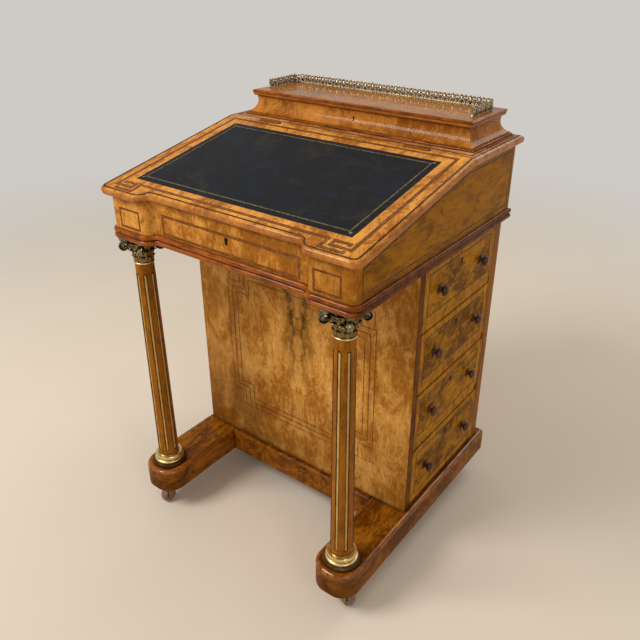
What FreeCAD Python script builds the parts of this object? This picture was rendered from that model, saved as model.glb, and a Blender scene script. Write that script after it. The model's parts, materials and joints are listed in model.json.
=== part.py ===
import FreeCAD, Part
import math
import os

# Davenport desk: a sloped writing lid over a narrow pedestal of side drawers,
# two front columns on sledge runners, and a stationery box with a gallery.
# Millimetres. +X is to the right of the person writing, +Y to the back, +Z up.
# The origin is on the floor, under the middle of the desk's outline.

# Clearances
RUNNING_FIT = 0.05
BODY_GAP = 0.3
DRAWER_GAP = 0.5
EDGE_PICK = 1.0

# Castors
WHEEL_RADIUS = 17.0
WHEEL_WIDTH = 15.0
WHEEL_CROWN = 3.0
AXLE_RADIUS = 2.5
CASTOR_TRAIL = 16.0
FORK_ARM = 3.0
FORK_ARM_RADIUS = 7.0
FORK_CROWN_GAP = 5.0
FORK_CROWN_HEIGHT = 11.7
FORK_CROWN_RADIUS = 11.0
KINGPIN_RADIUS = 4.0
PLATE_RADIUS = 20.0
PLATE_THICKNESS = 3.0

# Runners and plinth rails
RUNNER_WIDTH = 87.0
RUNNER_HEIGHT = 50.0
RUNNER_EDGE = 7.0
RUNNER_FRONT_REACH = 44.0
RUNNER_FRONT_CORNER = 36.0
RUNNER_BACK_REACH = 6.5
PLINTH_THICKNESS = 20.0
PLINTH_PROJECTION = 11.0
PLINTH_EDGE = 5.0

# Pedestal
PEDESTAL_INSET = 4.0
PEDESTAL_BACK_INSET = 14.0
PEDESTAL_DEPTH = 309.0
FRONT_PANEL = 17.0
BACK_PANEL = 18.0
LEFT_PANEL = 14.0
DUMMY_FRONT = 6.0
REAR_LINING = 10.0
FLOOR_BOARD = 9.0
DIVIDER = 14.0
DIVIDER_SETBACK = 1.5

# Drawers, top to bottom
DRAWER_HEIGHTS = (109.0, 112.0, 111.0, 126.0)
DRAWER_FRONT = 18.0
DRAWER_SIDE = 9.0
DRAWER_SIDE_DROP = 8.0
DRAWER_BOTTOM = 5.0
DRAWER_BOTTOM_RAISE = 3.0
DRAWER_BACK_ROOM = 8.0
KNOB_SPACING = 158.0
KNOB_RADIUS = 12.0
KNOB_NECK_RADIUS = 6.0
KNOB_ROSE_RADIUS = 9.5
KNOB_LENGTH = 22.0
KNOB_DOME = 2.0
KNOB_BEAD = 1.0
KEYHOLE_DROP = 26.0
KEYHOLE_RADIUS = 2.2
KEYHOLE_SLOT = 2.4
KEYHOLE_HEIGHT = 8.0

# Desk box
DESK_WIDTH = 528.0
DESK_DEPTH = 515.0
FRONT_HEIGHT = 81.2
SLOPE = 11.2
CHEEK = 15.0
DESK_BACK = 12.0
DESK_BOTTOM = 12.0
FRIEZE = 16.0
BLOCK_WIDTH = 77.0
BREAK_DEPTH = 18.0
BREAK_RUN = 28.0
DESK_CORNER = 14.0
MOULDING_HEIGHT = 20.0
MOULDING_PROJECTION = 5.0
MOULDING_ROUND = 4.0
LOCK_WIDTH = 44.0
LOCK_HEIGHT = 40.0
LOCK_DEPTH = 9.0

# Lid and fixed top
LID_THICKNESS = 15.0
LID_NOSE = 6.5
LID_CORNER = 16.0
QUIRK_INSET = 6.0
QUIRK_WIDTH = 3.2
QUIRK_DEPTH = 2.0
LID_SIDE_OVERHANG = 12.0
LID_FRONT_OVERHANG = 13.0
TOP_BACK_OVERHANG = 6.5
TOP_DEPTH = 193.0
LEATHER_FRONT_MARGIN = 53.0
LEATHER_BACK_MARGIN = 31.0
LEATHER_SIDE_MARGIN = 46.0
LEATHER = 1.0

# Stationery box
STATIONERY_SIDE_INSET = 26.0
STATIONERY_DEPTH = 125.0
STATIONERY_BACK_INSET = 20.0
STATIONERY_WALL = 12.0
STATIONERY_HEIGHT = 35.5
STATIONERY_FLARE = 14.0
STATIONERY_FILLET = 6.0
STATIONERY_FRIEZE = 3.0
STATIONERY_LEDGE = 2.0
STATIONERY_LID = 12.0
STATIONERY_LID_OVERHANG = 6.0
STATIONERY_LID_ROUND = 4.0
TRAY_DEPTH = 50.0
TRAY_BOARD = 6.0
TRAY_DIVIDER_X = 95.0

# Gallery
GALLERY_HEIGHT = 19.0
GALLERY_THICKNESS = 2.0
GALLERY_INSET = 16.0
GALLERY_BACK_INSET = 15.0
GALLERY_RETURN = 90.0
GALLERY_PITCH = 18.0
GALLERY_CREST = 5.0
GALLERY_HOLE_RADIUS = 5.0
GALLERY_HOLE_RISE = 8.5

# Hinges
HINGE_LENGTH = 50.0
HINGE_SPACING = 330.0
KNUCKLE_RADIUS = 3.0
PIN_RADIUS = 1.3
LEAF = 1.2
LEAF_WIDTH = 11.0

# Small drawers inside the desk
NEST_DRAWER_HEIGHT = 52.0
NEST_SHELF = 8.0
NEST_DIVIDER = 10.0
NEST_SETBACK = 8.0
NEST_WALL = 6.0
NEST_KNOB_RADIUS = 6.0
NEST_KNOB_LENGTH = 10.0

# Columns
COLUMN_INSET = 37.0
COLUMN_SETBACK = 28.5
SHAFT_FOOT_RADIUS = 20.5
SHAFT_HEAD_RADIUS = 17.5
BASE_RADIUS = 33.5
BASE_HEIGHT = 25.0
BASE_STEP = 3.5
BASE_NECK_STEP = 1.5
CAPITAL_HEIGHT = 50.0
CAPITAL_REACH = 30.5
ABACUS = 8.0
VOLUTE_RADIUS = 9.5
VOLUTE_WIDTH = 9.0
FLUTE_COUNT = 7
FLUTE_TURN = 6.0
FLUTE_RADIUS = 3.6
FLUTE_DEPTH = 2.0
FLUTE_HEAD_MARGIN = 22.0
FLUTE_FOOT_MARGIN = 12.0
LEAF_COUNT = 8
LEAF_SPREAD = 34.0
LOW_LEAF_REACH = 8.0
HIGH_LEAF_REACH = 12.0
LEAF_ROOT = 3.0
LEAF_CURL = 6.0
LEAF_LIP = 1.0
NECK_BEAD = 3.0
BELL_SETBACK = 5.0
ABACUS_CHAMFER = 4.0
ABACUS_HOLLOW = 9.0

# Places worked out from the sizes above
PLATE_Z = 2 * WHEEL_RADIUS + FORK_CROWN_GAP + FORK_CROWN_HEIGHT + BODY_GAP
RUNNER_Z = PLATE_Z + PLATE_THICKNESS
RUNNER_TOP = RUNNER_Z + RUNNER_HEIGHT
FLOOR_TOP = RUNNER_TOP + FLOOR_BOARD
DESK_Z = (FLOOR_TOP + sum(DRAWER_HEIGHTS) + (len(DRAWER_HEIGHTS) - 1) * DIVIDER
          + 2 * len(DRAWER_HEIGHTS) * DRAWER_GAP)

DESK_X = DESK_WIDTH / 2
FRONT_REACH = max(LID_FRONT_OVERHANG, RUNNER_FRONT_REACH - COLUMN_SETBACK)
BACK_REACH = max(TOP_BACK_OVERHANG, RUNNER_BACK_REACH)
DESK_FRONT_Y = (FRONT_REACH - BACK_REACH - DESK_DEPTH) / 2
DESK_BACK_Y = DESK_FRONT_Y + DESK_DEPTH
FRIEZE_INNER_Y = DESK_FRONT_Y + BREAK_DEPTH + FRIEZE
BACK_INNER_Y = DESK_BACK_Y - DESK_BACK
CHEEK_INNER_X = DESK_X - CHEEK
BLOCK_INNER_X = DESK_X - BLOCK_WIDTH

HINGE_Y = DESK_BACK_Y - TOP_DEPTH
TILT = math.radians(SLOPE)
TOP_Z = (DESK_Z + FRONT_HEIGHT + (HINGE_Y - DESK_FRONT_Y) * math.tan(TILT)
         + (LID_THICKNESS + BODY_GAP) / math.cos(TILT))
TOP_UNDER = TOP_Z - LID_THICKNESS
LID_X = DESK_X + LID_SIDE_OVERHANG
LID_LENGTH = (HINGE_Y - DESK_FRONT_Y + LID_FRONT_OVERHANG
              + LID_THICKNESS / 2 * math.sin(TILT)) / math.cos(TILT)
LID_FLAT_FRONT = HINGE_Y - LID_LENGTH

PEDESTAL_X = DESK_X - PEDESTAL_INSET
PEDESTAL_BACK_Y = DESK_BACK_Y - PEDESTAL_BACK_INSET
PEDESTAL_FRONT_Y = PEDESTAL_BACK_Y - PEDESTAL_DEPTH
BAY_FRONT_Y = PEDESTAL_FRONT_Y + FRONT_PANEL
BAY_BACK_Y = PEDESTAL_BACK_Y - BACK_PANEL - REAR_LINING
BAY_MIDDLE_Y = (BAY_FRONT_Y + BAY_BACK_Y) / 2
BAY_LEFT_X = -PEDESTAL_X + DUMMY_FRONT + LEFT_PANEL

COLUMN_X = DESK_X - COLUMN_INSET
COLUMN_Y = DESK_FRONT_Y + COLUMN_SETBACK
RUNNER_FRONT_Y = COLUMN_Y - RUNNER_FRONT_REACH
RUNNER_BACK_Y = DESK_BACK_Y + RUNNER_BACK_REACH
RUNNER_INNER_X = COLUMN_X - RUNNER_WIDTH / 2
SHAFT_Z = RUNNER_TOP + BASE_HEIGHT
CAPITAL_Z = DESK_Z - CAPITAL_HEIGHT
CASTOR_BACK_Y = RUNNER_BACK_Y - RUNNER_WIDTH / 2

STATIONERY_WIDTH = DESK_WIDTH - 2 * STATIONERY_SIDE_INSET
STATIONERY_X = STATIONERY_WIDTH / 2
STATIONERY_BACK_Y = DESK_BACK_Y - STATIONERY_BACK_INSET
STATIONERY_FRONT_Y = STATIONERY_BACK_Y - STATIONERY_DEPTH
WELL_X = STATIONERY_X - STATIONERY_WALL
WELL_FRONT_Y = STATIONERY_FRONT_Y + STATIONERY_WALL
WELL_BACK_Y = STATIONERY_BACK_Y - STATIONERY_WALL
STATIONERY_TOP = TOP_Z + STATIONERY_HEIGHT
STATIONERY_LID_Z = STATIONERY_TOP + BODY_GAP
GALLERY_Z = STATIONERY_LID_Z + STATIONERY_LID
STATIONERY_PIN_Y = STATIONERY_BACK_Y + KNUCKLE_RADIUS
STATIONERY_PIN_Z = STATIONERY_TOP + BODY_GAP / 2

NEST_Z = DESK_Z + DESK_BOTTOM
NEST_FRONT_Y = HINGE_Y + NEST_SETBACK
NEST_SHELF_Z = NEST_Z + NEST_DRAWER_HEIGHT + 2 * DRAWER_GAP

X_AXIS = FreeCAD.Vector(1, 0, 0)
Y_AXIS = FreeCAD.Vector(0, 1, 0)
Z_AXIS = FreeCAD.Vector(0, 0, 1)
# Each castor stands at a place under a runner, turned from trailing towards the front
CASTORS = {
    "front_left": (-COLUMN_X, COLUMN_Y, 0.0),
    "front_right": (COLUMN_X, COLUMN_Y, 80.0),
    "rear_left": (-COLUMN_X, CASTOR_BACK_Y, 150.0),
    "rear_right": (COLUMN_X, CASTOR_BACK_Y, -20.0),
}


def box(low, high):
    """Block between two opposite corners."""
    size = [b - a for a, b in zip(low, high)]
    return Part.makeBox(*size, FreeCAD.Vector(*low))


def rod(radius, start, end):
    """Cylinder between two points."""
    start = FreeCAD.Vector(*start)
    run = FreeCAD.Vector(*end) - start
    return Part.makeCylinder(radius, run.Length, start, run)


def in_plan(u, v):
    return FreeCAD.Vector(u, v, 0)


def in_side(u, v):
    return FreeCAD.Vector(0, u, v)


def in_section(u, v):
    return FreeCAD.Vector(u, 0, v)


def face(place, start, moves):
    """Closed face: each move is an end point, or a middle and an end point for an arc."""
    edges = []
    here = place(*start)
    for move in list(moves) + [(start,)]:
        there = place(*move[-1])
        if (there - here).Length > 1e-6:
            if len(move) == 2:
                edges.append(Part.Arc(here, place(*move[0]), there).toShape())
            else:
                edges.append(Part.makeLine(here, there))
        here = there
    return Part.Face(Part.Wire(edges))


def polygon(place, points):
    return face(place, points[0], [(point,) for point in points[1:]])


def plan_prism(shape_face, low, high):
    """Plan face raised between two heights."""
    solid = shape_face.extrude(Z_AXIS * (high - low))
    solid.translate(Z_AXIS * low)
    return solid


def side_prism(shape_face, low, high):
    """Side-view face drawn out between two X positions."""
    solid = shape_face.extrude(X_AXIS * (high - low))
    solid.translate(X_AXIS * low)
    return solid


def turned(shape_face, x, y, z):
    """Section face turned about a vertical axis, set at a point."""
    solid = shape_face.revolve(FreeCAD.Vector(), Z_AXIS, 360)
    solid.translate(FreeCAD.Vector(x, y, z))
    return solid


def fuse(solids):
    """One solid from several that meet."""
    joined = solids[0].multiFuse(solids[1:]).removeSplitter()
    return joined.Solids[0] if len(joined.Solids) == 1 else joined


def mirrored(shape):
    """The same piece on the other side of the desk."""
    return shape.mirror(FreeCAD.Vector(), X_AXIS)


def tilted(shape):
    """Piece of the flat lid, laid on the writing slope."""
    turned_shape = shape.copy()
    turned_shape.rotate(FreeCAD.Vector(0, HINGE_Y, TOP_Z), X_AXIS, SLOPE)
    return turned_shape


def under_lid(y):
    """Height of the walls below the closed lid."""
    return TOP_Z - (LID_THICKNESS + BODY_GAP) / math.cos(TILT) - (HINGE_Y - y) * math.tan(TILT)


def breakfront(half_width, front_y, back_y, corner):
    """Plan with projecting end blocks and a set-back middle, joined by ogee curves."""
    bend = 2 * math.atan2(BREAK_DEPTH, BREAK_RUN)
    radius = BREAK_RUN / (2 * math.sin(bend))
    part_x = radius * math.sin(bend / 2)
    part_y = radius * (1 - math.cos(bend / 2))
    arc = corner * (1 - math.sqrt(0.5))
    middle_y = front_y + BREAK_DEPTH
    inner_x = BLOCK_INNER_X
    recess_x = inner_x - BREAK_RUN
    half_x = inner_x - BREAK_RUN / 2
    half_y = front_y + BREAK_DEPTH / 2
    return face(in_plan, (-half_width, back_y), [
        ((-half_width, front_y + corner),),
        ((-half_width + arc, front_y + arc), (-half_width + corner, front_y)),
        ((-inner_x, front_y),),
        ((-inner_x + part_x, front_y + part_y), (-half_x, half_y)),
        ((-recess_x - part_x, middle_y - part_y), (-recess_x, middle_y)),
        ((recess_x, middle_y),),
        ((recess_x + part_x, middle_y - part_y), (half_x, half_y)),
        ((inner_x - part_x, front_y + part_y), (inner_x, front_y)),
        ((half_width - corner, front_y),),
        ((half_width - arc, front_y + arc), (half_width, front_y + corner)),
        ((half_width, back_y),),
    ])


def rounded(solid, radius, keep):
    """Solid with its level edges rounded where keep says so."""
    edges = []
    for edge in solid.Edges:
        low, high = edge.BoundBox.ZMin, edge.BoundBox.ZMax
        if high - low < 1e-4 and keep(edge.BoundBox):
            edges.append(edge)
    return solid.makeFillet(radius, edges)


def runner():
    """Sledge foot with a broad round front end and a rounded upper edge."""
    inner, outer = RUNNER_INNER_X, RUNNER_INNER_X + RUNNER_WIDTH
    corner = min(RUNNER_FRONT_CORNER, 0.49 * RUNNER_WIDTH)
    arc = corner * (1 - math.sqrt(0.5))
    front = RUNNER_FRONT_Y
    plan = face(in_plan, (outer, RUNNER_BACK_Y), [
        ((inner, RUNNER_BACK_Y),),
        ((inner, front + corner),),
        ((inner + arc, front + arc), (inner + corner, front)),
        ((outer - corner, front),),
        ((outer - arc, front + arc), (outer, front + corner)),
    ])
    solid = plan_prism(plan, RUNNER_Z, RUNNER_TOP)
    return rounded(solid, RUNNER_EDGE,
                   lambda b: b.ZMin > RUNNER_Z + EDGE_PICK and b.YMin < RUNNER_BACK_Y - EDGE_PICK)


def plinth_rails():
    """Front and rear rails between the runners, with a rounded upper edge."""
    front_y = PEDESTAL_FRONT_Y - PLINTH_PROJECTION
    back_y = RUNNER_BACK_Y
    half = RUNNER_INNER_X
    front = box((-half, front_y, RUNNER_Z), (half, front_y + PLINTH_THICKNESS, RUNNER_TOP))
    rear = box((-half, back_y - PLINTH_THICKNESS, RUNNER_Z), (half, back_y, RUNNER_TOP))
    front = rounded(front, PLINTH_EDGE,
                    lambda b: b.ZMin > RUNNER_Z + EDGE_PICK and b.YMax < front_y + EDGE_PICK)
    rear = rounded(rear, PLINTH_EDGE,
                   lambda b: b.ZMin > RUNNER_Z + EDGE_PICK and b.YMin > back_y - EDGE_PICK)
    return [front, rear]


def castor_plate(x, y):
    """Round plate under a runner, with the kingpin that the castor turns on."""
    plate = rod(PLATE_RADIUS, (x, y, PLATE_Z), (x, y, RUNNER_Z))
    pin = rod(KINGPIN_RADIUS, (x, y, PLATE_Z - FORK_CROWN_HEIGHT), (x, y, PLATE_Z))
    return fuse([plate, pin])


def headed(shape, x, y, heading):
    """Castor piece turned about its kingpin."""
    shape.rotate(FreeCAD.Vector(x, y, 0), Z_AXIS, heading)
    return shape


def castor_fork(x, y, heading):
    """Crown round the kingpin, two arms and the axle between them."""
    top = PLATE_Z - BODY_GAP
    base = top - FORK_CROWN_HEIGHT
    axle_y = y - CASTOR_TRAIL
    inner = WHEEL_WIDTH / 2 + BODY_GAP
    outer = inner + FORK_ARM
    solids = [
        rod(FORK_CROWN_RADIUS, (x, y, base), (x, y, top)),
        box((x - outer, axle_y - FORK_ARM_RADIUS, base), (x + outer, y, top)),
        rod(AXLE_RADIUS, (x - outer, axle_y, WHEEL_RADIUS), (x + outer, axle_y, WHEEL_RADIUS)),
    ]
    for side in (-1, 1):
        near, far = sorted((x + side * inner, x + side * outer))
        solids.append(box((near, axle_y - FORK_ARM_RADIUS, WHEEL_RADIUS),
                          (far, axle_y + FORK_ARM_RADIUS, base)))
        solids.append(rod(FORK_ARM_RADIUS, (near, axle_y, WHEEL_RADIUS), (far, axle_y, WHEEL_RADIUS)))
    bore = rod(KINGPIN_RADIUS + RUNNING_FIT, (x, y, base), (x, y, top))
    return headed(fuse(solids).cut(bore), x, y, heading)


def castor_wheel(x, y, heading):
    """Wheel with a crowned tread, bored for the axle."""
    half = WHEEL_WIDTH / 2
    shoulder = WHEEL_RADIUS - WHEEL_CROWN
    section = face(in_section, (AXLE_RADIUS + RUNNING_FIT, -half), [
        ((shoulder, -half),),
        ((WHEEL_RADIUS, 0), (shoulder, half)),
        ((AXLE_RADIUS + RUNNING_FIT, half),),
    ])
    wheel = turned(section, 0, 0, 0)
    wheel.rotate(FreeCAD.Vector(), Y_AXIS, 90)
    wheel.translate(FreeCAD.Vector(x, y - CASTOR_TRAIL, WHEEL_RADIUS))
    return headed(wheel, x, y, heading)


def column_base():
    """Turned base: foot ring, two rounded rings and the hollow between them."""
    height = BASE_HEIGHT
    neck = SHAFT_FOOT_RADIUS + BASE_NECK_STEP
    bulge = BASE_NECK_STEP
    ring = BASE_RADIUS - BASE_STEP
    section = face(in_section, (0, 0), [
        ((BASE_RADIUS - bulge, 0),),
        ((BASE_RADIUS, 0.14 * height), (BASE_RADIUS - bulge, 0.28 * height)),
        ((ring - bulge, 0.32 * height),),
        ((ring, 0.42 * height), (ring - bulge, 0.52 * height)),
        ((ring - BASE_STEP, 0.56 * height),),
        ((ring - 0.5 * BASE_STEP, 0.74 * height), (ring - BASE_STEP, 0.92 * height)),
        ((neck, 0.92 * height),),
        ((neck, height),),
        ((0, height),),
    ])
    return turned(section, COLUMN_X, COLUMN_Y, RUNNER_TOP)


def column():
    """Tapered shaft with round-ended flutes."""
    shaft = Part.makeCone(SHAFT_FOOT_RADIUS, SHAFT_HEAD_RADIUS, CAPITAL_Z - SHAFT_Z,
                          FreeCAD.Vector(COLUMN_X, COLUMN_Y, SHAFT_Z))
    foot_out = SHAFT_FOOT_RADIUS - FLUTE_DEPTH + FLUTE_RADIUS
    head_out = SHAFT_HEAD_RADIUS - FLUTE_DEPTH + FLUTE_RADIUS
    flutes = []
    for index in range(FLUTE_COUNT):
        angle = math.radians(FLUTE_TURN - 90 + 360 * index / FLUTE_COUNT)
        way = FreeCAD.Vector(math.cos(angle), math.sin(angle), 0)
        axis = FreeCAD.Vector(COLUMN_X, COLUMN_Y, 0)
        low = axis + way * foot_out + Z_AXIS * (SHAFT_Z + FLUTE_FOOT_MARGIN)
        high = axis + way * head_out + Z_AXIS * (CAPITAL_Z - FLUTE_HEAD_MARGIN)
        flutes += [rod(FLUTE_RADIUS, low, high)]
        flutes += [Part.makeSphere(FLUTE_RADIUS, end) for end in (low, high)]
    return shaft.cut(flutes)


def leaf_ring(section, start):
    """Leaves round the bell, each a part turn of one section."""
    leaves = []
    for index in range(LEAF_COUNT):
        leaf = section.revolve(FreeCAD.Vector(), Z_AXIS, LEAF_SPREAD)
        leaf.rotate(FreeCAD.Vector(), Z_AXIS, start + 360 * index / LEAF_COUNT - LEAF_SPREAD / 2)
        leaves.append(leaf)
    return leaves


def capital():
    """Bell between a neck ring and an abacus, with two rows of leaves and corner volutes."""
    height = CAPITAL_HEIGHT
    neck = SHAFT_HEAD_RADIUS
    root = neck - LEAF_ROOT
    low_tip = neck + LOW_LEAF_REACH
    high_tip = neck + HIGH_LEAF_REACH
    bell = face(in_section, (0, 0), [
        ((neck, 0),),
        ((neck + NECK_BEAD, 0.05 * height), (neck, 0.10 * height)),
        ((neck - LEAF_LIP, 0.12 * height),),
        ((neck + LEAF_LIP, 0.52 * height), (CAPITAL_REACH - BELL_SETBACK, height - ABACUS),),
        ((0, height - ABACUS),),
    ])
    low_leaf = face(in_section, (root, 0.12 * height), [
        ((neck + LEAF_LIP, 0.12 * height),),
        ((neck + 2 * LEAF_LIP, 0.30 * height), (low_tip, 0.42 * height)),
        ((low_tip - LEAF_LIP, 0.50 * height), (low_tip - LEAF_CURL, 0.46 * height)),
        ((root, 0.44 * height),),
    ])
    high_leaf = face(in_section, (root, 0.40 * height), [
        ((neck + 3 * LEAF_LIP, 0.40 * height),),
        ((high_tip - LEAF_CURL, 0.58 * height), (high_tip, 0.68 * height)),
        ((high_tip - LEAF_LIP, 0.76 * height), (high_tip - LEAF_CURL, 0.72 * height)),
        ((root, 0.70 * height),),
    ])
    reach = CAPITAL_REACH
    horn = reach - ABACUS_CHAMFER
    waist = reach - ABACUS_HOLLOW
    abacus = face(in_plan, (-horn, -reach), [
        ((0, -waist), (horn, -reach)),
        ((reach, -horn),),
        ((waist, 0), (reach, horn)),
        ((horn, reach),),
        ((0, waist), (-horn, reach)),
        ((-reach, horn),),
        ((-waist, 0), (-reach, -horn)),
    ])
    solids = [turned(bell, 0, 0, 0), plan_prism(abacus, height - ABACUS, height)]
    solids += leaf_ring(low_leaf, 0)
    solids += leaf_ring(high_leaf, 180 / LEAF_COUNT)
    middle = (horn + reach) / 2 * math.sqrt(2) - VOLUTE_RADIUS
    for index in range(4):
        half = VOLUTE_WIDTH / 2
        volute = rod(VOLUTE_RADIUS, (middle, -half, 0), (middle, half, 0))
        stem = box((0, -half, -VOLUTE_RADIUS / 2), (middle, half, VOLUTE_RADIUS))
        for solid in (volute, stem):
            solid.translate(Z_AXIS * (height - ABACUS - VOLUTE_RADIUS))
            solid.rotate(FreeCAD.Vector(), Z_AXIS, 45 + 90 * index)
            solids.append(solid)
    whole = fuse(solids)
    whole.translate(FreeCAD.Vector(COLUMN_X, COLUMN_Y, CAPITAL_Z))
    return whole


def drawer_spans():
    """Low and high edge of each drawer opening, top drawer first."""
    spans = []
    top = DESK_Z
    for height in DRAWER_HEIGHTS:
        low = top - height - 2 * DRAWER_GAP
        spans.append((low, top))
        top = low - DIVIDER
    return spans


def keyhole(reach):
    """Key-shaped cutter along +Y, its round part at the origin."""
    half = KEYHOLE_SLOT / 2
    round_part = rod(KEYHOLE_RADIUS, (0, -reach, 0), (0, reach, 0))
    slot = box((-half, -reach, -KEYHOLE_HEIGHT + KEYHOLE_RADIUS), (half, reach, 0))
    return fuse([round_part, slot])


def front_panel():
    return box((-PEDESTAL_X, PEDESTAL_FRONT_Y, RUNNER_TOP), (PEDESTAL_X, BAY_FRONT_Y, DESK_Z))


def back_panel():
    return box((-PEDESTAL_X, PEDESTAL_BACK_Y - BACK_PANEL, RUNNER_TOP),
               (PEDESTAL_X, PEDESTAL_BACK_Y, DESK_Z))


def left_panel():
    """Side panel, with raised edges round the dummy drawer fronts."""
    outer = -PEDESTAL_X
    inner = outer + DUMMY_FRONT
    back = PEDESTAL_BACK_Y - BACK_PANEL
    return fuse([
        box((inner, BAY_FRONT_Y, RUNNER_TOP), (BAY_LEFT_X, back, DESK_Z)),
        box((outer, BAY_BACK_Y, RUNNER_TOP), (inner, back, DESK_Z)),
        box((outer, BAY_FRONT_Y, RUNNER_TOP), (inner, BAY_BACK_Y, FLOOR_TOP)),
    ])


def rear_lining():
    """Board that guides the drawers at the back and shows as the rear stile."""
    return box((BAY_LEFT_X, BAY_BACK_Y, FLOOR_TOP), (PEDESTAL_X, BAY_BACK_Y + REAR_LINING, DESK_Z))


def pedestal_floor():
    return box((BAY_LEFT_X, BAY_FRONT_Y, RUNNER_TOP),
               (PEDESTAL_X, PEDESTAL_BACK_Y - BACK_PANEL, FLOOR_TOP))


def drawer_dividers():
    """Dust boards that part the drawers and carry them."""
    boards = []
    for low, _ in drawer_spans()[:-1]:
        boards.append(box((BAY_LEFT_X, BAY_FRONT_Y, low - DIVIDER),
                          (PEDESTAL_X - DIVIDER_SETBACK, BAY_BACK_Y, low)))
    return boards


def knob():
    """Turned knob standing along +Z from its rose."""
    neck = KNOB_NECK_RADIUS
    head = KNOB_RADIUS
    length = KNOB_LENGTH
    shoulder = length - KNOB_DOME
    rim = 0.6 * head
    dome = (rim ** 2 + KNOB_DOME ** 2) / (2 * KNOB_DOME)
    half_turn = math.asin(rim / dome) / 2
    crown = (dome * math.sin(half_turn), length - dome * (1 - math.cos(half_turn)))
    section = face(in_section, (0, 0), [
        ((KNOB_ROSE_RADIUS, 0),),
        ((KNOB_ROSE_RADIUS, 0.10 * length),),
        ((neck + KNOB_BEAD / 2, 0.22 * length), (neck, 0.38 * length)),
        ((neck + KNOB_BEAD, 0.46 * length),),
        ((head, 0.68 * length), (rim, shoulder)),
        (crown, (0, length)),
    ])
    return turned(section, 0, 0, 0)


def side_knobs(low, high, side):
    """Pair of knobs on a drawer front."""
    pair = []
    for offset in (-KNOB_SPACING / 2, KNOB_SPACING / 2):
        piece = knob()
        piece.rotate(FreeCAD.Vector(), Y_AXIS, 90 * side)
        piece.translate(FreeCAD.Vector(side * PEDESTAL_X, BAY_MIDDLE_Y + offset,
                                       (low + high) / 2))
        pair.append(piece)
    return pair


def drawer_front(low, high):
    front = box((PEDESTAL_X - DRAWER_FRONT, BAY_FRONT_Y + DRAWER_GAP, low + DRAWER_GAP),
                (PEDESTAL_X, BAY_BACK_Y - DRAWER_GAP, high - DRAWER_GAP))
    cutter = keyhole(2 * DRAWER_FRONT)
    cutter.rotate(FreeCAD.Vector(), Z_AXIS, 90)
    cutter.translate(FreeCAD.Vector(PEDESTAL_X, BAY_MIDDLE_Y, high - DRAWER_GAP - KEYHOLE_DROP))
    return front.cut(cutter)


def drawer_box(low, high):
    """Sides, back and bottom of a drawer, behind its front."""
    front_x = PEDESTAL_X - DRAWER_FRONT
    back_x = BAY_LEFT_X + DRAWER_BACK_ROOM
    near_y = BAY_FRONT_Y + 2 * DRAWER_GAP
    far_y = BAY_BACK_Y - 2 * DRAWER_GAP
    base = low + DRAWER_GAP
    top = high - DRAWER_GAP - DRAWER_SIDE_DROP
    floor = base + DRAWER_BOTTOM_RAISE
    side = DRAWER_SIDE
    return [
        box((back_x, near_y, base), (front_x, near_y + side, top)),
        box((back_x, far_y - side, base), (front_x, far_y, top)),
        box((back_x, near_y + side, base), (back_x + side, far_y - side, top)),
        box((back_x + side, near_y + side, floor), (front_x, far_y - side, floor + DRAWER_BOTTOM)),
    ]


def dummy_drawer_fronts():
    fronts = []
    for low, high in drawer_spans():
        fronts.append(box((-PEDESTAL_X, BAY_FRONT_Y + DRAWER_GAP, low + DRAWER_GAP),
                          (-PEDESTAL_X + DUMMY_FRONT, BAY_BACK_Y - DRAWER_GAP, high - DRAWER_GAP)))
    return fronts


def dummy_knobs():
    knobs = []
    for low, high in drawer_spans():
        knobs += side_knobs(low, high, -1)
    return knobs


def desk_bottom():
    return box((-CHEEK_INNER_X, FRIEZE_INNER_Y, DESK_Z), (CHEEK_INNER_X, BACK_INNER_Y, NEST_Z))


def front_frieze():
    """Front wall with end blocks, its upper edge cut to the writing slope."""
    wall = plan_prism(breakfront(DESK_X, DESK_FRONT_Y, FRIEZE_INNER_Y, DESK_CORNER), DESK_Z, TOP_Z)
    above = [
        (DESK_FRONT_Y - FRIEZE, under_lid(DESK_FRONT_Y - FRIEZE)),
        (FRIEZE_INNER_Y + FRIEZE, under_lid(FRIEZE_INNER_Y + FRIEZE)),
        (FRIEZE_INNER_Y + FRIEZE, TOP_Z + FRIEZE),
        (DESK_FRONT_Y - FRIEZE, TOP_Z + FRIEZE),
    ]
    hole = keyhole(2 * FRIEZE)
    hole.translate(FreeCAD.Vector(0, DESK_FRONT_Y + BREAK_DEPTH, lock_middle()))
    return wall.cut(side_prism(polygon(in_side, above), -2 * DESK_X, 2 * DESK_X)).cut(hole)


def lock_middle():
    """Height of the keyhole in the front wall."""
    return DESK_Z + MOULDING_HEIGHT + (FRONT_HEIGHT - MOULDING_HEIGHT) / 2


def desk_lock():
    """Box lock on the inner face of the front wall."""
    half = LOCK_WIDTH / 2
    middle = lock_middle()
    return box((-half, FRIEZE_INNER_Y, middle - LOCK_HEIGHT / 2),
               (half, FRIEZE_INNER_Y + LOCK_DEPTH, middle + LOCK_HEIGHT / 2))


def cheek():
    """Wedge-shaped side wall of the desk box."""
    outline = polygon(in_side, [
        (FRIEZE_INNER_Y, DESK_Z),
        (BACK_INNER_Y, DESK_Z),
        (BACK_INNER_Y, TOP_UNDER),
        (HINGE_Y, TOP_UNDER),
        (HINGE_Y, under_lid(HINGE_Y)),
        (FRIEZE_INNER_Y, under_lid(FRIEZE_INNER_Y)),
    ])
    return side_prism(outline, CHEEK_INNER_X, DESK_X)


def desk_back():
    return box((-DESK_X, BACK_INNER_Y, DESK_Z), (DESK_X, DESK_BACK_Y, TOP_UNDER))


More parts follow.
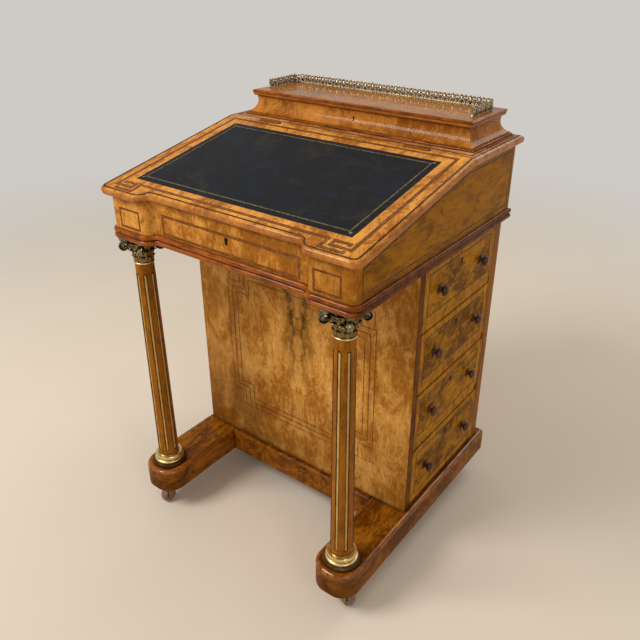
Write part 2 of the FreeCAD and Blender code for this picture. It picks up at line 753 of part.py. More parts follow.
def desk_moulding():
    """Double bead round the foot of the desk box, in front, side and back lengths."""
    bead = MOULDING_HEIGHT / 2
    radius = min(MOULDING_ROUND, 0.48 * bead)
    reach = MOULDING_PROJECTION
    back_y = DESK_BACK_Y + reach
    wide = breakfront(DESK_X + reach, DESK_FRONT_Y - reach, back_y, DESK_CORNER + reach)
    plan = breakfront(DESK_X, DESK_FRONT_Y, DESK_BACK_Y, DESK_CORNER)
    inner = plan_prism(plan, DESK_Z, DESK_Z + 2 * bead)
    beads = []
    for level in (DESK_Z, DESK_Z + bead):
        beads.append(rounded(plan_prism(wide, level, level + bead), radius, lambda b: True))
    ring = fuse(beads).cut(inner)
    far = 2 * DESK_WIDTH
    split_y = FRIEZE_INNER_Y
    cuts = [
        box((-far, -far, DESK_Z), (far, split_y, DESK_Z + 2 * bead)),
        box((-far, split_y, DESK_Z), (0, DESK_BACK_Y, DESK_Z + 2 * bead)),
        box((0, split_y, DESK_Z), (far, DESK_BACK_Y, DESK_Z + 2 * bead)),
        box((-far, DESK_BACK_Y, DESK_Z), (far, far, DESK_Z + 2 * bead)),
    ]
    return [ring.common(cut).Solids[0] for cut in cuts]


def hinge_places():
    return (-HINGE_SPACING / 2, HINGE_SPACING / 2)


def hinge_pair():
    """Fixed and moving half of a butt hinge, its pin along X at the origin."""
    half = HINGE_LENGTH / 2
    third = HINGE_LENGTH / 6
    near = BODY_GAP
    far = BODY_GAP + LEAF
    knuckle = KNUCKLE_RADIUS
    room = knuckle + BODY_GAP
    fixed_leaf = box((-half, near, -LEAF_WIDTH), (half, far, 0))
    fixed_leaf = fixed_leaf.cut(rod(room, (-third - BODY_GAP, 0, 0), (third + BODY_GAP, 0, 0)))
    moving_leaf = box((-half, -far, -LEAF_WIDTH), (half, -near, 0))
    moving = moving_leaf.fuse(rod(knuckle, (-third, 0, 0), (third, 0, 0)))
    for side in (-1, 1):
        outer = rod(room, (side * half, 0, 0), (side * (third - BODY_GAP), 0, 0))
        moving = moving.cut(outer.cut(rod(knuckle, (-third, 0, 0), (third, 0, 0))))
    moving = moving.cut(rod(PIN_RADIUS + RUNNING_FIT, (-half, 0, 0), (half, 0, 0)))
    fixed = [fixed_leaf, rod(PIN_RADIUS, (-half, 0, 0), (half, 0, 0))]
    fixed += [rod(knuckle, (side * half, 0, 0), (side * (third + BODY_GAP), 0, 0)) for side in (-1, 1)]
    return fuse(fixed), moving.removeSplitter().Solids[0]


def slope_hinges():
    """Both halves of the two writing-lid hinges."""
    halves = ([], [])
    for x in hinge_places():
        for group, half in zip(halves, hinge_pair()):
            half.translate(FreeCAD.Vector(x, HINGE_Y, TOP_Z))
            group.append(half)
    return halves


def stationery_hinges():
    """Both halves of the two stationery-lid hinges, leaves lying flat."""
    halves = ([], [])
    for x in hinge_places():
        for group, half in zip(halves, hinge_pair()):
            half.rotate(FreeCAD.Vector(), X_AXIS, -90)
            half.translate(FreeCAD.Vector(x, STATIONERY_PIN_Y, STATIONERY_PIN_Z))
            group.append(half)
    return halves


def knuckle_room(y, z):
    """Cutters that leave room for the turning knuckles of a pair of hinges."""
    reach = HINGE_LENGTH / 2 + BODY_GAP
    radius = KNUCKLE_RADIUS + BODY_GAP
    return [rod(radius, (x - reach, y, z), (x + reach, y, z)) for x in hinge_places()]


def quirk(plan_at):
    """Ring cutter that parts the rounded edge from the flat of the lid or the top."""
    outer = plan_at(QUIRK_INSET)
    inner = plan_at(QUIRK_INSET + QUIRK_WIDTH)
    return plan_prism(outer.cut(inner), TOP_Z - QUIRK_DEPTH, TOP_Z)


def leather():
    """Skin let into the writing lid."""
    half = LID_X - LEATHER_SIDE_MARGIN
    return tilted(box((-half, LID_FLAT_FRONT + LEATHER_FRONT_MARGIN, TOP_Z - LEATHER),
                      (half, HINGE_Y - LEATHER_BACK_MARGIN, TOP_Z)))


def slope_lid():
    """Writing lid with a rounded edge, cut upright at the hinge line."""
    spare = LID_THICKNESS
    plan = breakfront(LID_X, LID_FLAT_FRONT, HINGE_Y + spare, LID_CORNER)
    slab = plan_prism(plan, TOP_UNDER, TOP_Z)
    slab = rounded(slab, LID_NOSE, lambda b: b.YMin < HINGE_Y + spare - EDGE_PICK)
    behind = box((-2 * LID_X, HINGE_Y - BODY_GAP, 0), (2 * LID_X, HINGE_Y + 4 * spare, 2 * TOP_Z))
    groove = quirk(lambda inset: breakfront(LID_X - inset, LID_FLAT_FRONT + inset,
                                            HINGE_Y + spare, LID_CORNER - inset))
    cutters = [behind, leather()] + knuckle_room(HINGE_Y, TOP_Z) + slope_hinges()[1]
    return tilted(slab.cut(groove)).cut(cutters)


def desk_top():
    """Fixed top behind the lid, open under the stationery box."""
    back_y = DESK_BACK_Y + TOP_BACK_OVERHANG
    slab = box((-LID_X, HINGE_Y + BODY_GAP, TOP_UNDER), (LID_X, back_y, TOP_Z))
    slab = rounded(slab, LID_NOSE, lambda b: b.YMax > HINGE_Y + EDGE_PICK)
    well = box((-WELL_X, WELL_FRONT_Y, TOP_UNDER), (WELL_X, WELL_BACK_Y, TOP_Z))
    groove = quirk(lambda inset: polygon(in_plan, [
        (-LID_X + inset, HINGE_Y), (LID_X - inset, HINGE_Y),
        (LID_X - inset, back_y - inset), (-LID_X + inset, back_y - inset)]))
    return slab.cut([groove, well] + knuckle_room(HINGE_Y, TOP_Z) + slope_hinges()[0])


def stationery_section(place):
    """Wall section: inner face, plain band at the top, hollow sweep and a stepped foot."""
    wall = STATIONERY_WALL
    foot = wall + STATIONERY_FLARE
    high = STATIONERY_HEIGHT
    step = STATIONERY_FILLET
    band = high - STATIONERY_FRIEZE
    sweep = foot - STATIONERY_LEDGE
    hollow = (wall + 0.29 * (sweep - wall), step + 0.29 * (band - step))
    return face(place, (0, 0), [
        ((foot, 0),),
        ((foot, step),),
        ((sweep, step),),
        (hollow, (wall, band)),
        ((wall, high),),
        ((0, high),),
    ])


def stationery_walls():
    """Four mitred walls round the stationery well."""
    reach = STATIONERY_WALL + STATIONERY_FLARE + BODY_GAP
    half_y = (WELL_BACK_Y - WELL_FRONT_Y) / 2
    middle = FreeCAD.Vector(0, (WELL_FRONT_Y + WELL_BACK_Y) / 2, TOP_Z)
    walls = []
    for turn in range(4):
        half_run, out = ((WELL_X, half_y), (half_y, WELL_X))[turn % 2]
        length = half_run + reach
        section = stationery_section(lambda o, z: FreeCAD.Vector(-length, -out - o, z))
        bar = section.extrude(X_AXIS * 2 * length)
        mitre = polygon(in_plan, [
            (-half_run, -out), (half_run, -out), (length, -out - reach), (-length, -out - reach)])
        wall = bar.common(plan_prism(mitre, 0, STATIONERY_HEIGHT)).Solids[0]
        wall.rotate(FreeCAD.Vector(), Z_AXIS, 90 * turn)
        wall.translate(middle)
        walls.append(wall)
    hole = keyhole(STATIONERY_DEPTH / 2)
    hole.translate(FreeCAD.Vector(0, STATIONERY_FRONT_Y, TOP_Z + 0.6 * STATIONERY_HEIGHT))
    walls[0] = walls[0].cut(hole)
    leaves = stationery_hinges()[0]
    walls[2] = walls[2].cut(leaves + knuckle_room(STATIONERY_PIN_Y, STATIONERY_PIN_Z))
    return walls


def stationery_tray():
    """Well under the stationery box: four boards and a bottom hung below the fixed top."""
    base = TOP_UNDER - TRAY_DEPTH
    board = TRAY_BOARD
    outer_x = WELL_X + board
    front, back = WELL_FRONT_Y, WELL_BACK_Y
    return [
        box((-outer_x, front - board, base), (outer_x, front, TOP_UNDER)),
        box((-outer_x, back, base), (outer_x, back + board, TOP_UNDER)),
        box((-outer_x, front, base), (-WELL_X, back, TOP_UNDER)),
        box((WELL_X, front, base), (outer_x, back, TOP_UNDER)),
        box((-WELL_X, front, base), (WELL_X, back, base + board)),
    ]


def tray_dividers():
    base = TOP_UNDER - TRAY_DEPTH + TRAY_BOARD
    half = TRAY_BOARD / 2
    boards = []
    for x in (-TRAY_DIVIDER_X, TRAY_DIVIDER_X):
        boards.append(box((x - half, WELL_FRONT_Y, base), (x + half, WELL_BACK_Y, TOP_Z)))
    return boards


def stationery_lid():
    """Moulded lid of the stationery box."""
    reach = STATIONERY_LID_OVERHANG
    lid_x = STATIONERY_X + reach
    slab = box((-lid_x, STATIONERY_FRONT_Y - reach, STATIONERY_LID_Z),
               (lid_x, STATIONERY_BACK_Y + reach, GALLERY_Z))
    slab = rounded(slab, min(STATIONERY_LID_ROUND, 0.48 * STATIONERY_LID), lambda b: True)
    return slab.cut(knuckle_room(STATIONERY_PIN_Y, STATIONERY_PIN_Z) + stationery_hinges()[1])


def gallery_run(length):
    """Pierced strip along +X from the origin, with a scalloped crest."""
    bays = max(2, round(length / GALLERY_PITCH))
    pitch = length / bays
    valley = GALLERY_HEIGHT - GALLERY_CREST
    moves = [((length, 0),), ((length, valley),)]
    for bay in reversed(range(bays)):
        moves.append((((bay + 0.5) * pitch, GALLERY_HEIGHT), (bay * pitch, valley)))
    strip = face(in_section, (0, 0), moves).extrude(Y_AXIS * GALLERY_THICKNESS)
    holes = []
    for bay in range(bays):
        x = (bay + 0.5) * pitch
        holes.append(rod(GALLERY_HOLE_RADIUS, (x, 0, GALLERY_HOLE_RISE),
                         (x, GALLERY_THICKNESS, GALLERY_HOLE_RISE)))
    return strip.cut(holes)


def gallery():
    """Back run and two side returns of the brass gallery."""
    half = STATIONERY_X + STATIONERY_LID_OVERHANG - GALLERY_INSET
    back_y = STATIONERY_BACK_Y + STATIONERY_LID_OVERHANG - GALLERY_BACK_INSET
    back = gallery_run(2 * half)
    back.translate(FreeCAD.Vector(-half, back_y, GALLERY_Z))
    runs = [back]
    for x in (-half + GALLERY_THICKNESS, half):
        side = gallery_run(GALLERY_RETURN)
        side.rotate(FreeCAD.Vector(), Z_AXIS, 90)
        side.translate(FreeCAD.Vector(x, back_y - GALLERY_RETURN, GALLERY_Z))
        runs.append(side)
    return runs


def interior_nest():
    """Shelf and divider that hold the two small drawers."""
    shelf = box((-CHEEK_INNER_X, NEST_FRONT_Y, NEST_SHELF_Z),
                (CHEEK_INNER_X, BACK_INNER_Y, NEST_SHELF_Z + NEST_SHELF))
    half = NEST_DIVIDER / 2
    divider = box((-half, NEST_FRONT_Y, NEST_Z), (half, BACK_INNER_Y, NEST_SHELF_Z))
    return [shelf, divider]


def interior_drawer():
    """Small tray drawer with a turned knob on its front."""
    low = (NEST_DIVIDER / 2 + DRAWER_GAP, NEST_FRONT_Y, NEST_Z + DRAWER_GAP)
    high = (CHEEK_INNER_X - DRAWER_GAP, BACK_INNER_Y - DRAWER_GAP, NEST_SHELF_Z - DRAWER_GAP)
    wall = NEST_WALL
    hollow = box([v + wall for v in low], (high[0] - wall, high[1] - wall, high[2] + wall))
    middle = ((low[0] + high[0]) / 2, NEST_FRONT_Y, (low[2] + high[2]) / 2)
    tip = (middle[0], middle[1] - NEST_KNOB_LENGTH, middle[2])
    head = Part.makeSphere(NEST_KNOB_RADIUS, FreeCAD.Vector(*tip))
    stem = rod(NEST_KNOB_RADIUS / 2, tip, middle)
    return fuse([box(low, high).cut(hollow), head, stem])


def nodes():
    """Every sub-part by name."""
    slope_fixed, slope_moving = slope_hinges()
    stationery_fixed, stationery_moving = stationery_hinges()
    parts = {
        "right_runner": runner(),
        "left_runner": mirrored(runner()),
        "plinth_rails": plinth_rails(),
        "castor_plates": [castor_plate(x, y) for x, y, _ in CASTORS.values()],
        "right_column_base": column_base(),
        "left_column_base": mirrored(column_base()),
        "right_column": column(),
        "left_column": mirrored(column()),
        "right_capital": capital(),
        "left_capital": mirrored(capital()),
        "front_panel": front_panel(),
        "back_panel": back_panel(),
        "left_panel": left_panel(),
        "rear_lining": rear_lining(),
        "pedestal_floor": pedestal_floor(),
        "drawer_dividers": drawer_dividers(),
        "dummy_drawer_fronts": dummy_drawer_fronts(),
        "dummy_knobs": dummy_knobs(),
        "desk_bottom": desk_bottom(),
        "front_frieze": front_frieze(),
        "right_cheek": cheek(),
        "left_cheek": mirrored(cheek()),
        "desk_back": desk_back(),
        "desk_moulding": desk_moulding(),
        "desk_lock": desk_lock(),
        "desk_top": desk_top(),
        "slope_hinge_fixed_leaves": slope_fixed,
        "stationery_walls": stationery_walls(),
        "stationery_tray": stationery_tray(),
        "tray_dividers": tray_dividers(),
        "stationery_hinge_fixed_leaves": stationery_fixed,
        "interior_nest": interior_nest(),
        "slope_lid": slope_lid(),
        "writing_leather": leather(),
        "slope_hinge_moving_leaves": slope_moving,
        "stationery_lid": stationery_lid(),
        "gallery": gallery(),
        "stationery_hinge_moving_leaves": stationery_moving,
        "interior_drawer_right": interior_drawer(),
        "interior_drawer_left": mirrored(interior_drawer()),
    }
    for number, (low, high) in enumerate(drawer_spans(), 1):
        parts[f"drawer_{number}_front"] = drawer_front(low, high)
        parts[f"drawer_{number}_box"] = drawer_box(low, high)
        parts[f"drawer_{number}_knobs"] = side_knobs(low, high, 1)
    for name, place in CASTORS.items():
        parts[f"castor_{name}_fork"] = castor_fork(*place)
        parts[f"castor_{name}_wheel"] = castor_wheel(*place)
    return parts


def write(parts):
    os.makedirs("parts", exist_ok=True)
    for name, shape in parts.items():
        if isinstance(shape, list):
            shape = Part.makeCompound(shape)
        shape.exportStep(os.path.join("parts", name + ".step"))


write(nodes())
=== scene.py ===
import json
import math

import bmesh
import bpy
from bpy.props import FloatProperty, FloatVectorProperty, IntProperty, PointerProperty
from mathutils import Matrix, Vector, noise


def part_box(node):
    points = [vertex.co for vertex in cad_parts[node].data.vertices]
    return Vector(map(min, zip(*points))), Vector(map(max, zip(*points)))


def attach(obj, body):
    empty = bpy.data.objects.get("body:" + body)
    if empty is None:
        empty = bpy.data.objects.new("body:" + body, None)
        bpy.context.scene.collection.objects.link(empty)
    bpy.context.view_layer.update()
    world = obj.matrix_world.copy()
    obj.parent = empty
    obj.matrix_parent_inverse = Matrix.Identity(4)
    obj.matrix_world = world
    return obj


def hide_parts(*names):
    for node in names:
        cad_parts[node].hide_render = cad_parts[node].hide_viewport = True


bl_info = {
    "name": "Davenport Desk",
    "version": (1, 0, 0),
    "blender": (4, 5, 0),
    "location": "3D View > Sidebar > Davenport",
    "description": "Veneers, inlay, castings, leather and stage for a davenport desk",
    "category": "Object",
}

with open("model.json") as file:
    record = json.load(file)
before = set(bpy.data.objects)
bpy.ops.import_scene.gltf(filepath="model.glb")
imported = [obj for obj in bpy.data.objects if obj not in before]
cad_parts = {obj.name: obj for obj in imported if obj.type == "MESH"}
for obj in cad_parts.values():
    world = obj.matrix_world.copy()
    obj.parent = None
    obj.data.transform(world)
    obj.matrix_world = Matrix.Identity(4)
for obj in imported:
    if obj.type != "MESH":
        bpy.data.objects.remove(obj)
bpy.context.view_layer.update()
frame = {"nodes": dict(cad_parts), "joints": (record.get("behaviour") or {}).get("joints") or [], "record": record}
MM = 0.001
SIDES = (-1, 1)
LABELS = ("left", "right")
DRAWERS = range(1, 5)
ACROSS, BACK, UP = Vector((1, 0, 0)), Vector((0, 1, 0)), Vector((0, 0, 1))
ALONG_X, ALONG_Y, ALONG_Z = 0, 1, 2
BLACK, WHITE = (0, 0, 0), (1, 1, 1)
SINK = 0.4 * MM
BREAK_DEPTH = 18 * MM
CORNER_STEPS = 8
MITRE_LIMIT = 0.1
LINE_LIFT = 1.3
BEAD_POLE = 0.06
LID_THICK = 15.3 * MM
LID_LENGTH = 343 * MM
KEYHOLE_DROP = 26 * MM
HINGE = Vector(next(j for j in frame["joints"] if j["name"] == "writing_lid_hinge")["pos_m"])
LID_OUT = Vector(next(m for m in frame["record"]["mounts"] if m["name"] == "writing_surface")["axis"])


def tint(red, green, blue):
    """Linear colour from the eight-bit values of a paint chart."""
    shares = []
    for value in (red, green, blue):
        share = value / 255
        shares.append(share / 12.92 if share <= 0.04045 else ((share + 0.055) / 1.055) ** 2.4)
    return tuple(shares)


def colour(label, words, *chart):
    return FloatVectorProperty(name=label, description=words, subtype="COLOR", size=3,
                               min=0, max=1, default=tint(*chart))


def length(label, words, millimetres):
    return FloatProperty(name=label, description=words, unit="LENGTH", subtype="DISTANCE",
                         default=millimetres * MM, min=0)


def bearing(label, words, degrees):
    return FloatProperty(name=label, description=words, unit="ROTATION", subtype="ANGLE",
                         default=math.radians(degrees))


class DeskColours(bpy.types.PropertyGroup):
    """Colours of the woods, metals and leather."""

    lid_pale: colour("Lid, pale", "Pale figure of the lid veneer", 232, 160, 70)
    lid_deep: colour("Lid, deep", "Deep figure of the lid veneer", 160, 92, 22)
    front_pale: colour("Front, pale", "Pale figure of the front veneer", 220, 154, 68)
    front_deep: colour("Front, deep", "Deep figure of the front veneer", 156, 94, 22)
    side_pale: colour("Side, pale", "Pale figure of the side veneer", 190, 128, 12)
    side_deep: colour("Side, deep", "Deep figure of the side veneer", 116, 70, 4)
    plain_pale: colour("Runner, pale", "Pale figure of the runner walnut", 162, 98, 18)
    plain_deep: colour("Runner, deep", "Deep figure of the runner walnut", 96, 50, 4)
    red_pale: colour("Moulding, pale", "Pale figure of the red moulding wood", 172, 90, 16)
    red_deep: colour("Moulding, deep", "Deep figure of the red moulding wood", 106, 48, 6)
    knob: colour("Knob", "Dark turned knobs", 44, 14, 4)
    lining_pale: colour("Lining, pale", "Pale figure of the drawer linings", 192, 146, 88)
    lining_deep: colour("Lining, deep", "Deep figure of the drawer linings", 152, 106, 56)
    line_dark: colour("Dark line", "Dark stringing", 66, 28, 6)
    band_brown: colour("Brown band", "Brown inlay band", 136, 78, 26)
    strip_pale: colour("Pale strip", "Boxwood strips of the flutes", 196, 158, 88)
    leather: colour("Leather", "Writing leather", 9, 12, 18)
    gilt: colour("Gilt", "Tooled gilt line", 170, 144, 92)
    brass: colour("Brass", "Cast brass where it is rubbed", 208, 180, 122)
    tarnish: colour("Tarnish", "Brass in the hollows", 62, 46, 18)
    patina: colour("Patina", "Patina of the corner scrolls", 46, 60, 62)
    wheel: colour("Wheel", "Castor wheels", 132, 96, 86)


class DeskSizes(bpy.types.PropertyGroup):
    """Sizes of the inlay and trim."""

    line: length("Line", "Width of a dark line", 1.5)
    band: length("Band", "Width of a brown band", 5.6)
    proud: length("Proud", "How far inlay stands off its ground", 0.12)
    crossband: length("Crossband", "Width of the border of a drawer front", 13.0)
    leather_line: length("Leather line", "Gilt line from the edge of the leather", 13.0)
    flute_strip: length("Flute strip", "Width of the strip in a flute", 3.8)
    gallery_bay: length("Gallery bay", "Pitch of the gallery's pattern", 18.0)
    flutes: IntProperty(name="Flutes", description="Flutes round a column", default=7, min=3)
    flute_turn: bearing("Flute turn", "First flute from straight ahead", 6)


class DeskStage(bpy.types.PropertyGroup):
    """Camera and floor."""

    eye: FloatVectorProperty(name="Eye", description="Where the camera stands", subtype="TRANSLATION",
                             unit="LENGTH", size=3, default=(0.7372, -0.9561, 1.0830))
    yaw: bearing("Yaw", "Camera turned left", 36.515)
    pitch: bearing("Pitch", "Camera turned down", 27.318)
    roll: bearing("Roll", "Camera rolled", 0.191)
    lens: FloatProperty(name="Lens", description="Focal length in millimetres", default=38.72, min=1)
    shift: FloatVectorProperty(name="Shift", description="Shift of the frame", size=2,
                               default=(-0.0131, -0.028))
    floor: colour("Floor", "Pale floor", 220, 206, 186)


class DeskSettings(bpy.types.PropertyGroup):
    """Everything that can be set on the desk."""

    colours: PointerProperty(type=DeskColours)
    sizes: PointerProperty(type=DeskSizes)
    stage: PointerProperty(type=DeskStage)


def settings():
    return bpy.context.scene.davenport


def blend_of(first, second, share):
    return tuple(a + (b - a) * share for a, b in zip(first, second))


class Recipe:
    """One finish, put together node by node."""

    def __init__(self, name, shelf=None):
        self.made = (bpy.data.materials if shelf is None else shelf).new(name)
        self.made.use_nodes = True
        self.tree = self.made.node_tree
        self.tree.nodes.clear()

    def feed(self, socket, value):
        if isinstance(value, bpy.types.NodeSocket):
            self.tree.links.new(value, socket)
        else:
            socket.default_value = value

    def node(self, kind, inputs=None, **choices):
        made = self.tree.nodes.new(kind)
        for key, value in choices.items():
            setattr(made, key, value)
        for key, value in (inputs or {}).items():
            self.feed(made.inputs[key], value)
        return made

    def here(self):
        """Where a point lies on the piece."""
        return self.node("ShaderNodeTexCoord").outputs["Object"]

    def place(self, stretch=(1, 1, 1), source=None):
        """Where a point lies on the piece, stretched along the grain."""
        return self.node("ShaderNodeMapping", {"Vector": source or self.here(), "Scale": stretch}).outputs[0]

    def parts(self, source):
        """Across, back and up of a place."""
        return tuple(self.node("ShaderNodeSeparateXYZ", {0: source}).outputs)

    def folded(self, source):
        """The same place on both halves of a book-matched veneer."""
        across, back, up = self.parts(source)
        return self.node("ShaderNodeCombineXYZ", {0: self.size(across), 1: back, 2: up}).outputs[0]

    def bent(self, source, scale, reach):
        """Place pushed about by a slow swirl."""
        push = self.node("ShaderNodeTexNoise", {"Vector": source, "Scale": scale, "Detail": 2})
        inputs = {0: push.outputs["Color"], 1: (reach, reach, reach), 2: source}
        return self.node("ShaderNodeVectorMath", inputs, operation="MULTIPLY_ADD").outputs[0]

    def cloud(self, place, scale, detail=4, twist=0.0, rough=0.55):
        return self.node("ShaderNodeTexNoise", {
            "Vector": place, "Scale": scale, "Detail": detail, "Distortion": twist,
            "Roughness": rough}).outputs[0]

    def cells(self, place, scale, feature="F1"):
        """Distances in a pattern of small cells."""
        return self.node("ShaderNodeTexVoronoi", {"Vector": place, "Scale": scale},
                         feature=feature).outputs["Distance"]

    def work(self, operation, first, second):
        return self.node("ShaderNodeMath", {0: first, 1: second}, operation=operation).outputs[0]

    def size(self, value):
        """A value without its sign."""
        return self.node("ShaderNodeMath", {0: value}, operation="ABSOLUTE").outputs[0]

    def times(self, first, *others):
        for other in others:
            first = self.work("MULTIPLY", first, other)
        return first

    def weigh(self, *pairs):
        """Sum of values, each with its share."""
        total = None
        for value, share in pairs:
            part = self.times(value, share)
            total = part if total is None else self.work("ADD", total, part)
        return total

    def spread(self, value, low, high, to_low=0.0, to_high=1.0):
        return self.node("ShaderNodeMapRange", {
            "Value": value, "From Min": low, "From Max": high,
            "To Min": to_low, "To Max": to_high}).outputs[0]

    def fade_in(self, value, low, high, share=1.0):
        return self.spread(value, low, high, 0.0, share)

    def fade_out(self, value, low, high, share=1.0):
        return self.spread(value, low, high, share, 0.0)

    def patches(self, place, scale, least, detail=5, rough=0.65):
        """Uneven cover: full in places, down to the least share in others."""
        return self.spread(self.cloud(place, scale, detail, 0.8, rough), 0.32, 0.62, least, 1.0)

    def ramp(self, value, stops):
        made = self.node("ShaderNodeValToRGB", {"Fac": value})
        marks = made.color_ramp.elements
        while len(marks) < len(stops):
            marks.new(0.5)
        for mark, (position, shade) in zip(marks, stops):
            mark.position = position
            mark.color = (*shade, 1)
        return made.outputs[0]

    def mix(self, share, first, second):
        made = self.node("ShaderNodeMix", {0: share}, data_type="RGBA")
        for index, value in ((6, first), (7, second)):
            self.feed(made.inputs[index], (*value, 1) if isinstance(value, tuple) else value)
        return made.outputs[2]

    def shelter(self, reach):
        """How sheltered a place is: 1 in a corner or joint, 0 in the open."""
        air = self.node("ShaderNodeAmbientOcclusion", {"Distance": reach}, samples=6).outputs["AO"]
        return self.fade_out(air, 0.4, 0.9)

    def turned_from(self, way):
        """1 where a surface lies edge-on to the given direction, 0 where it faces it or turns its back."""
        normal = self.node("ShaderNodeTexCoord").outputs["Normal"]
        facing = self.node("ShaderNodeVectorMath", {0: normal, 1: way}, operation="DOT_PRODUCT")
        return self.fade_out(self.size(facing.outputs["Value"]), 0.55, 0.96)

    def seen(self):
        """1 for the eye, straight or by way of a reflection or glass, 0 for the light on things."""
        path = self.node("ShaderNodeLightPath").outputs
        seen = path["Is Camera Ray"]
        for ray in ("Is Glossy Ray", "Is Transmission Ray"):
            seen = self.work("MAXIMUM", seen, path[ray])
        return seen

    def bump(self, height, strength, depth):
        return self.node("ShaderNodeBump", {
            "Height": height, "Strength": strength, "Distance": depth}).outputs[0]

    def surface(self, **sockets):
        """Surface shader with the given sockets."""
        names = {key.replace("_", " ").title().replace("Ior", "IOR"): value for key, value in sockets.items()}
        return self.node("ShaderNodeBsdfPrincipled", names).outputs[0]

    def close(self, **sockets):
        """The finish itself, its surface shader joined to the output."""
        self.node("ShaderNodeOutputMaterial", {"Surface": self.surface(**sockets)})
        return self.made


PANEL_SHADED_EDGE = -0.24, -0.06
PANEL_FAR_EDGE = 0.16, 0.26
PANEL_WIDTH = -0.2, 0.2
PANEL_FOOT = 0.10, 0.32
RIGHT_BLOCK = 0.14, 0.19
MOULDING_SIDES = 0.262, 0.272
RUNNER_TOE = -0.27, -0.2
RUNNER_UNDERSIDE = 0.07, 0.1
OLIVE = 104, 64, 10
ORANGE_BROWN = 0.05, 0.006, 0.0
RED_BROWN = 0.05, 0.012, 0.0


def darkened_foot(recipe, shade, here, deep):
    """Darker and oranger towards the foot of a panel, olive towards its edges."""
    across, _, height = recipe.parts(here)
    patchy = recipe.patches(here, 14, 0.42)
    edge = recipe.work("MAXIMUM", recipe.fade_out(across, *PANEL_SHADED_EDGE, 0.6),
                       recipe.fade_in(across, *PANEL_FAR_EDGE, 0.3))
    shade = recipe.mix(recipe.times(edge, patchy), shade, tint(*OLIVE))
    near_edge = recipe.spread(across, *PANEL_WIDTH, 1.0, 0.55)
    share = recipe.times(recipe.fade_out(height, *PANEL_FOOT), near_edge, patchy)
    return recipe.mix(share, shade, blend_of(deep, ORANGE_BROWN, 0.8)), share


def darkened_end(recipe, shade, here, deep):
    """The block over the right column, browner than the rest of the front."""
    across = recipe.parts(here)[0]
    share = recipe.times(recipe.fade_in(across, *RIGHT_BLOCK, 0.55), recipe.patches(here, 22, 0.5))
    return recipe.mix(share, shade, blend_of(deep, RED_BROWN, 0.3)), share


def shaded_sides(recipe, shade, here, deep):
    """Mouldings along the two sides, darkened with painted shade."""
    aside = recipe.size(recipe.parts(here)[0])
    share = recipe.times(recipe.fade_in(aside, *MOULDING_SIDES, 0.95),
                         recipe.patches(here, 30, 0.6, detail=4, rough=0.55))
    return recipe.mix(share, shade, blend_of(deep, BLACK, 0.8)), share


def shaded_toe(recipe, shade, here, deep):
    """Front ends of the runners, with painted shade low down near the floor."""
    _, back, height = recipe.parts(here)
    share = recipe.times(recipe.fade_out(back, *RUNNER_TOE, 0.75), recipe.fade_out(height, *RUNNER_UNDERSIDE))
    return recipe.mix(share, shade, blend_of(deep, BLACK, 0.35)), share


FIBRE_SQUEEZE = 0.06
MIDDLE_TONE = 0.53
NOSE_STAIN = 0.16, 0.03, 0.004
NOSE_SHARE = 0.52
NOSE_COAT = 0.45
# Reach and strength of the painted shade, with old grime, in corners and joints.
SHADE_AND_GRIME_REACH = 9 * MM
SHADE_AND_GRIME_SHARE = 0.8


def along_grain(grain, squeeze):
    """Scales of a pattern drawn out along the grain."""
    return [squeeze if way == grain else 1.0 for way in (ALONG_X, ALONG_Y, ALONG_Z)]


